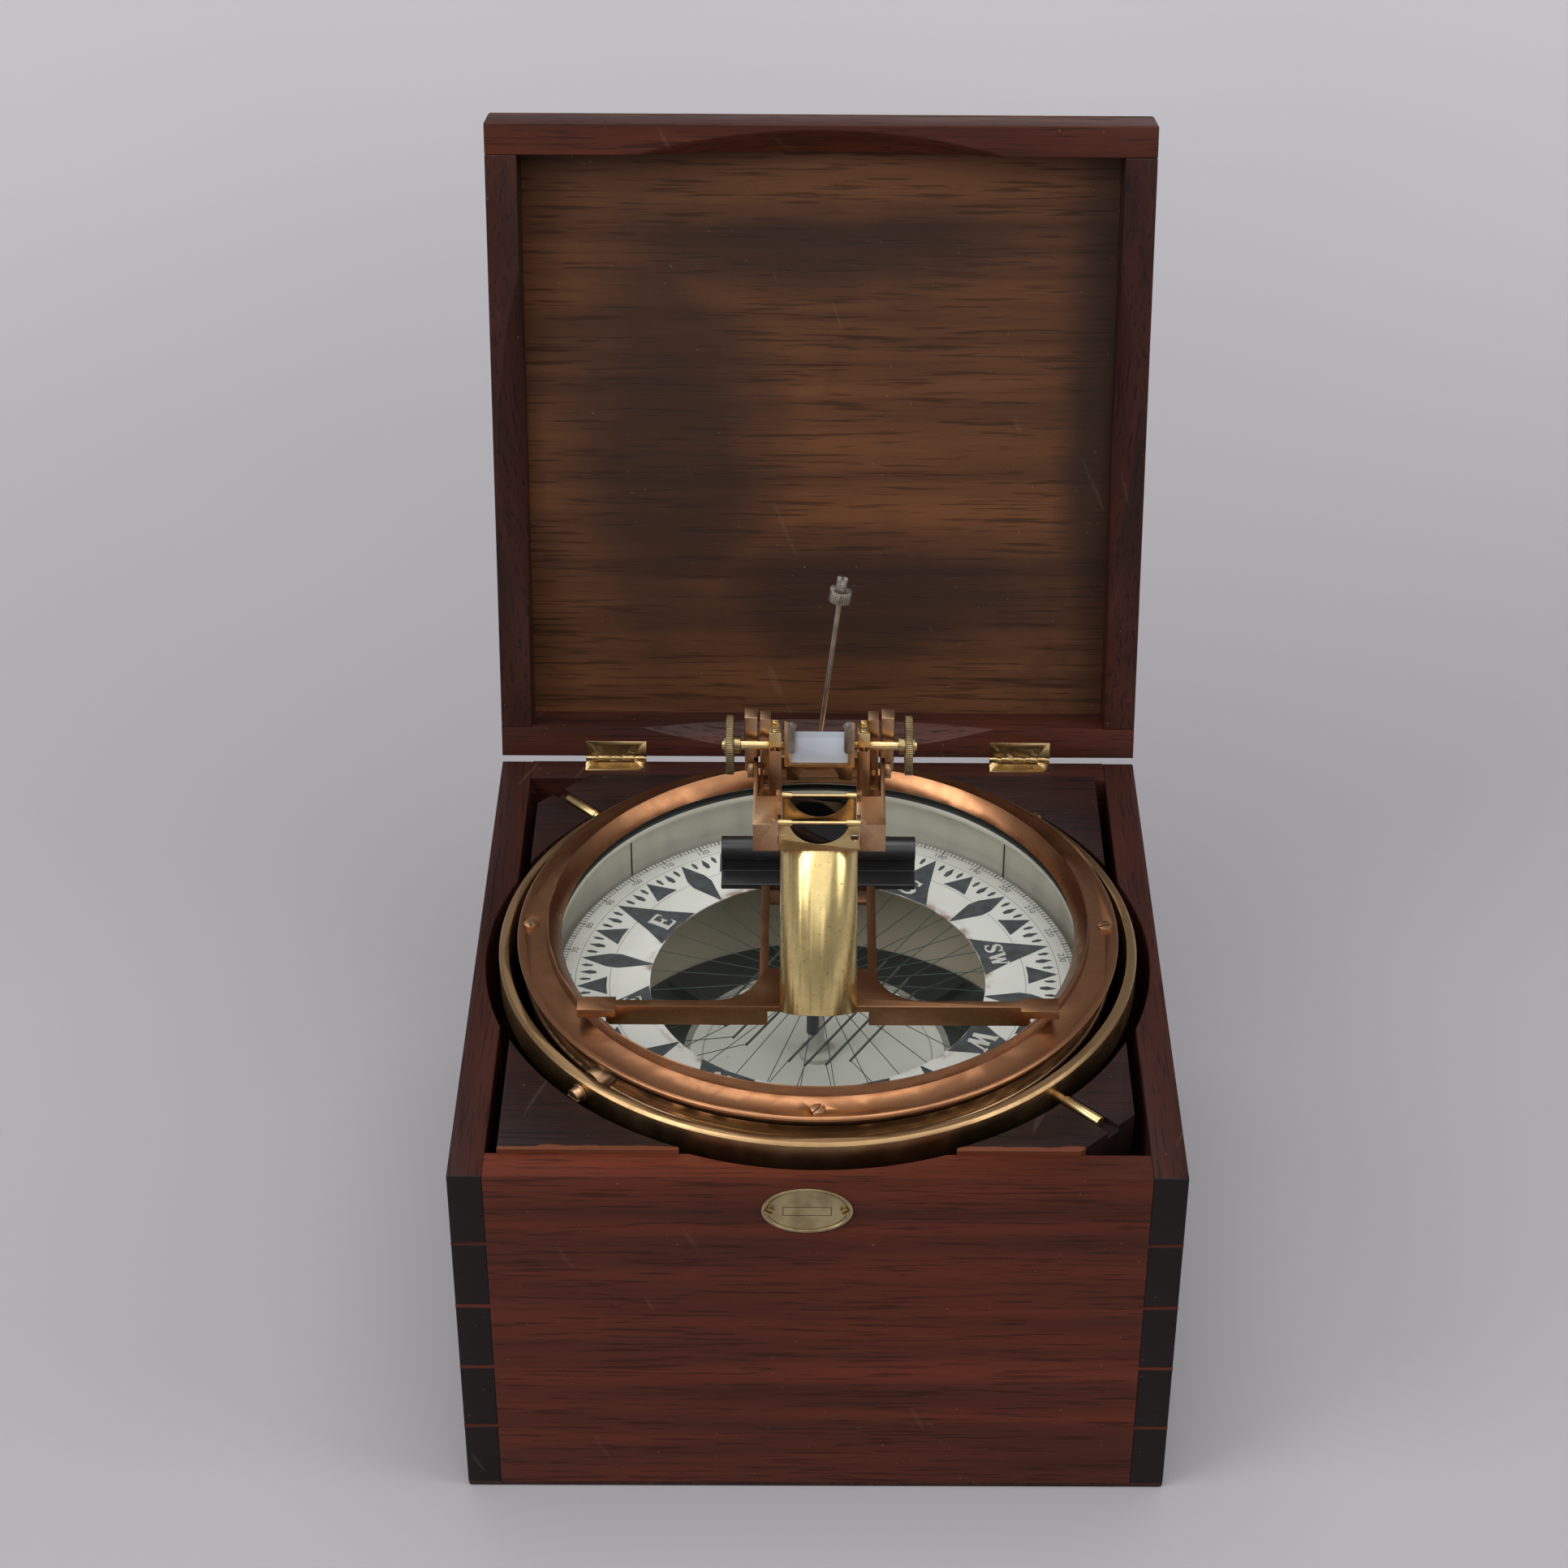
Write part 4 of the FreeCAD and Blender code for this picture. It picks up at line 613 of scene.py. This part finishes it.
for index, name in enumerate(("N", "NE", "E", "SE", "S", "SW", "W", "NW")):
    size = single_letter if len(name) == 1 else paired_letter
    for place, letter in enumerate(name):
        aside = (place - (len(name) - 1) / 2) * letter_pitch
        for layer, (points, widths) in enumerate(letters[letter]):
            shifted = [(x + aside / size, y) for x, y in points]
            lift = letter_lift + layer * stroke_lift
            brush_stroke(initials, 45 * index, letter_radius, shifted, widths, size, lift)
for degree in range(0, 360, 10):
    wording = bpy.data.curves.new("figure_%03d" % degree, "FONT")
    wording.body = str(degree if degree else 360)
    wording.size = figure_size
    wording.align_x = "CENTER"
    wording.align_y = "CENTER"
    holder = bpy.data.objects.new("figure_%03d" % degree, wording)
    scene.collection.objects.link(holder)
    bpy.context.view_layer.update()
    flat = bpy.data.meshes.new_from_object(holder)
    bpy.data.objects.remove(holder)
    out = on_card(degree, figure_radius)
    turn = Matrix.Rotation(-(north + math.radians(degree)), 4, "Z")
    flat.transform(Matrix.Translation(out) @ turn)
    rose.from_mesh(flat)


def inked(name, shape, finish):
    """Make a printed layer into a piece that turns with the card."""
    data = bpy.data.meshes.new(name)
    shape.to_mesh(data)
    shape.free()
    data.materials.clear()
    data.materials.append(finish)
    piece = bpy.data.objects.new(name, data)
    scene.collection.objects.link(piece)
    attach(piece, "card")


ink = mottled("rose_ink", 0.6, 170, (0.028, 0.032, 0.036), (0.062, 0.070, 0.076), 0.30, 0.75, detail=4.0)
letter_white = mottled("letter_white", 0.6, 120, (0.60, 0.61, 0.56), (0.44, 0.44, 0.38), 0.3, 0.8)
inked("card_rose", rose, ink)
inked("card_letters", initials, letter_white)
paper, paper_shader, paper_place = new_finish("card_paper", 0.65)
ageing = paper_place.noise(26, detail=5.0, roughness=0.6).step(0.35, 0.75)
fox = paper_place.noise(62, detail=4.0, roughness=0.6).step(0.46, 0.62)
edge = 1.0 - paper_place.off_axis().step(paper_inner + 0.0005, paper_inner + 0.0055)
sheet = ageing.mixed((0.680, 0.690, 0.645), (0.590, 0.595, 0.530))
sheet = (edge * fox * 0.85).mixed(sheet, (0.235, 0.120, 0.070))
feed(paper_shader, "Base Color", sheet)
dressed("card_ring", paper)
alloy = metal("card_alloy", (0.55, 0.55, 0.53), (0.35, 0.35, 0.33), 0.4)
for node in ("card_rim", "card_hub"):
    dressed(node, alloy)
jewel = mottled("cap_jewel", 0.12, 240, (0.30, 0.045, 0.055), (0.42, 0.080, 0.095), Coat_Weight=0.4)
dressed("jewel_cap", jewel)
dressed("card_threads", mottled("silk_green", 0.5, 90, (0.016, 0.060, 0.042), (0.022, 0.034, 0.028)))
dressed("card_needles", mottled("needle_grey", 0.45, 130, (0.040, 0.044, 0.038), (0.075, 0.080, 0.066)))

# Top glass
# A clear glass disc with a faint green cast over the card.
# It is bedded on a dark rubber seal and held down by the bezel.
clear = mottled("clear_glass", 0.03, 18, (0.060, 0.085, 0.075), (0.090, 0.110, 0.095), Alpha=0.05)
dressed("top_glass", clear)
dressed("glass_seal", new_finish("seal_black", 0.7, Base_Color=(0.020, 0.022, 0.020, 1.0))[0])

# Grip
# A moulded bar of satin black ebonite behind the tube, fixed across the two arms of the frame.
# A bead along its top lets the fingers turn the whole instrument.
ebonite, ebonite_shader, ebonite_place = new_finish("ebonite", 0.34, Specular_IOR_Level=0.45)
dust = ebonite_place.noise(260, detail=2.0).step(0.70, 0.78)
feed(ebonite_shader, "Base Color", (dust * 0.25).mixed((0.0125, 0.0120, 0.0125), (0.10, 0.10, 0.095)))
feed(ebonite_shader, "Roughness", ebonite_place.noise(40, detail=3.0).step(0.3, 0.7) * 0.14 + 0.28)
softened("grip", ebonite, 0.5, 3)

# Lenses, shades and prism
# The two half-round shades are dark polished glass; the tube's clear lens is given the same near-black as
# painted shade for the dark tube behind it.
# The prism's face is painted blue-grey as a painted reflection, darker in a band along its top, and the index
# pin under the tube is dark.
dark_glass_and_painted_shade, dark_shader, dark_place = new_finish("dark_glass_and_painted_shade", 0.06, Specular_IOR_Level=0.35)
dark_dust = dark_place.noise(900, detail=1.0).step(0.78, 0.80)
feed(dark_shader, "Base Color", (dark_dust * 0.3).mixed((0.0040, 0.0040, 0.0046), (0.16, 0.15, 0.14)))
# The tube's lens takes this near-black as painted shade for the inside of the tube.
for node in ("front_shade_glass", "rear_shade_glass", "tube_lens"):
    softened(node, dark_glass_and_painted_shade, 0.15, 2)
prism_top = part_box("prism")[1][2]
prism_glass, prism_shader, prism_place = new_finish("prism_glass", 0.22, Coat_Weight=0.6, Coat_Roughness=0.04)
prism_upper = prism_place.part(2).step(prism_top - 0.0036, prism_top - 0.0030)
# Painted reflection: the prism's face gets a flat blue-grey for what its glass reflects.
prism_painted_reflection = prism_place.noise(60, detail=2.0).step(0.3, 0.7).mixed((0.40, 0.43, 0.475), (0.44, 0.47, 0.515))
feed(prism_shader, "Base Color", (prism_upper * 0.7).mixed(prism_painted_reflection, (0.33, 0.36, 0.40)))
softened("prism", prism_glass, 0.25, 2)
dressed("index_pin", new_finish("index_dark", 0.4, Base_Color=(0.030, 0.034, 0.040, 1.0))[0])

# Prism box
# Thin sheet bronze bent round the prism.
# Two nickelled clip fingers, each on a slotted screw, hold the prism's face.
box_low, box_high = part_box("prism_box")
clip_side = box_high[0] - 0.0050
clip_face = box_low[1] + 0.0017
clip_foot = box_high[2] - 0.0170
box_bronze, box_shader, box_place = new_finish("box_bronze", 0.3, metallic=1.0)
box_tone = box_place.noise(90, detail=4.0).step(0.3, 0.7)
box_aside = box_place.part(0).absolute()
clip = box_aside.step(clip_side - 0.0002, clip_side) * box_place.part(2).step(clip_foot, clip_foot + 0.0002)
clip = clip * (1.0 - box_place.part(1).step(clip_face - 0.0001, clip_face + 0.0001))
clip = clip * (1.0 - box_aside.step(box_high[0] - 0.0013, box_high[0] - 0.0011))
sheet_bronze = box_tone.mixed((0.60, 0.38, 0.20), (0.36, 0.21, 0.11))
clip_nickel = box_tone.mixed((0.34, 0.31, 0.26), (0.22, 0.19, 0.15))
feed(box_shader, "Base Color", clip.mixed(sheet_bronze, clip_nickel))
feed(box_shader, "Roughness", box_tone * 0.14 + 0.24)
softened("prism_box", box_bronze, 0.2, 2)

# Name plate
# An oval brass plate held to the front board by two screws.
# It is bare but for an engraved border and an empty frame.
plate_low, plate_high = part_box("name_plate")
plate_middle = (Vector(plate_low) + Vector(plate_high)) / 2
plate_half = (Vector(plate_high) - Vector(plate_low)) / 2
frame_half = (0.0108, 0.0024)
engraved = 0.00022
plate_brass, plate_shader, plate_place = new_finish("plate_brass", 0.36, metallic=1.0)
from_middle = plate_place.less(tuple(plate_middle))
oval = from_middle.times((1 / plate_half.x, 0.0, 1 / plate_half.z)).length()
border = oval.step(0.865, 0.872) - oval.step(0.886, 0.893)
aside = from_middle.part(0).absolute() - frame_half[0]
above = (from_middle.part(2) + 0.0006).absolute() - frame_half[1]
rim = aside.math("MAXIMUM", above).absolute()
empty_frame = 1.0 - rim.step(engraved * 0.6, engraved)
cut = border.math("MAXIMUM", empty_frame)
plate_tone = plate_place.noise(90, detail=5.0).step(0.35, 0.7)
plate_colour = plate_tone.mixed((0.46, 0.37, 0.20), (0.29, 0.22, 0.115))
feed(plate_shader, "Base Color", (cut * 0.9).mixed(plate_colour, (0.020, 0.015, 0.010)))
feed(plate_shader, "Roughness", plate_tone * 0.12 + cut * 0.3 + 0.32)
bumped(plate_shader, 1.0 - cut, 0.5, 0.0002)
softened("name_plate", plate_brass, 0.15, 2)

# Milled knobs
# Two brass discs on the prism's spindle stubs, gone green-brown with handling.
# Their edges carry straight milling for the fingers.
knob_low, knob_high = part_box("knobs")
knob_middle = (Vector(knob_low) + Vector(knob_high)) / 2
knob_radius = (knob_high[2] - knob_low[2]) / 2
milling_count = 96
knob_brass, knob_shader, knob_place = new_finish("knob_brass", 0.33, metallic=1.0)
from_axis = knob_place.less((0.0, *knob_middle.yz))
knob_out = from_axis.times((0.0, 1.0, 1.0)).length()
round_knob = from_axis.part(2).math("ARCTAN2", from_axis.part(1))
ridges = (round_knob * milling_count).math("SINE") * 0.5 + 0.5
on_edge = knob_out.step(knob_radius - 0.0005, knob_radius - 0.0003)
knob_tone = knob_place.noise(120, detail=4.0).step(0.35, 0.7)
knob_colour = knob_tone.mixed((0.36, 0.27, 0.13), (0.17, 0.13, 0.07))
knob_colour = (on_edge * (1.0 - ridges) * 0.75).mixed(knob_colour, (0.040, 0.032, 0.020))
feed(knob_shader, "Base Color", knob_colour)
feed(knob_shader, "Roughness", knob_tone * 0.15 + 0.27)
bumped(knob_shader, on_edge * ridges + knob_tone * 0.05, 0.8, 0.0003)
softened("knobs", knob_brass, 0.25, 2)

# Shadow pin
# A thin nickel-silver rod that stands in a socket and leans a little to the right.
# It ends in a diamond-knurled cap for the fingers.
pin_lean = math.radians(6.5)
pin_foot = Vector((-0.0005, 0.0020, 0.3106))
cap_start = 0.0813
knurl_count = 14
knurl_climb = 4200
nickel, nickel_shader, nickel_place = new_finish("nickel_silver", 0.3, metallic=1.0)
from_foot = nickel_place.less(tuple(pin_foot))
along_pin = from_foot.part(2) * math.cos(pin_lean) + from_foot.part(0) * math.sin(pin_lean)
across_pin = from_foot.part(0) * math.cos(pin_lean) - from_foot.part(2) * math.sin(pin_lean)
round_pin = from_foot.part(1).math("ARCTAN2", across_pin)
climb = along_pin * knurl_climb
knurl = (round_pin * knurl_count + climb).math("SINE") * (round_pin * knurl_count - climb).math("SINE")
knurl = knurl * 0.5 + 0.5
on_cap = along_pin.step(cap_start - 0.0002, cap_start)
nickel_tone = nickel_place.noise(200, detail=3.0).step(0.3, 0.7)
nickel_colour = nickel_tone.mixed((0.52, 0.48, 0.40), (0.34, 0.30, 0.24))
nickel_colour = (on_cap * (1.0 - knurl) * 0.9).mixed(nickel_colour, (0.050, 0.046, 0.040))
feed(nickel_shader, "Base Color", nickel_colour)
bumped(nickel_shader, on_cap * knurl, 0.9, 0.0003)
softened("shadow_pin", nickel, 0.15, 2)
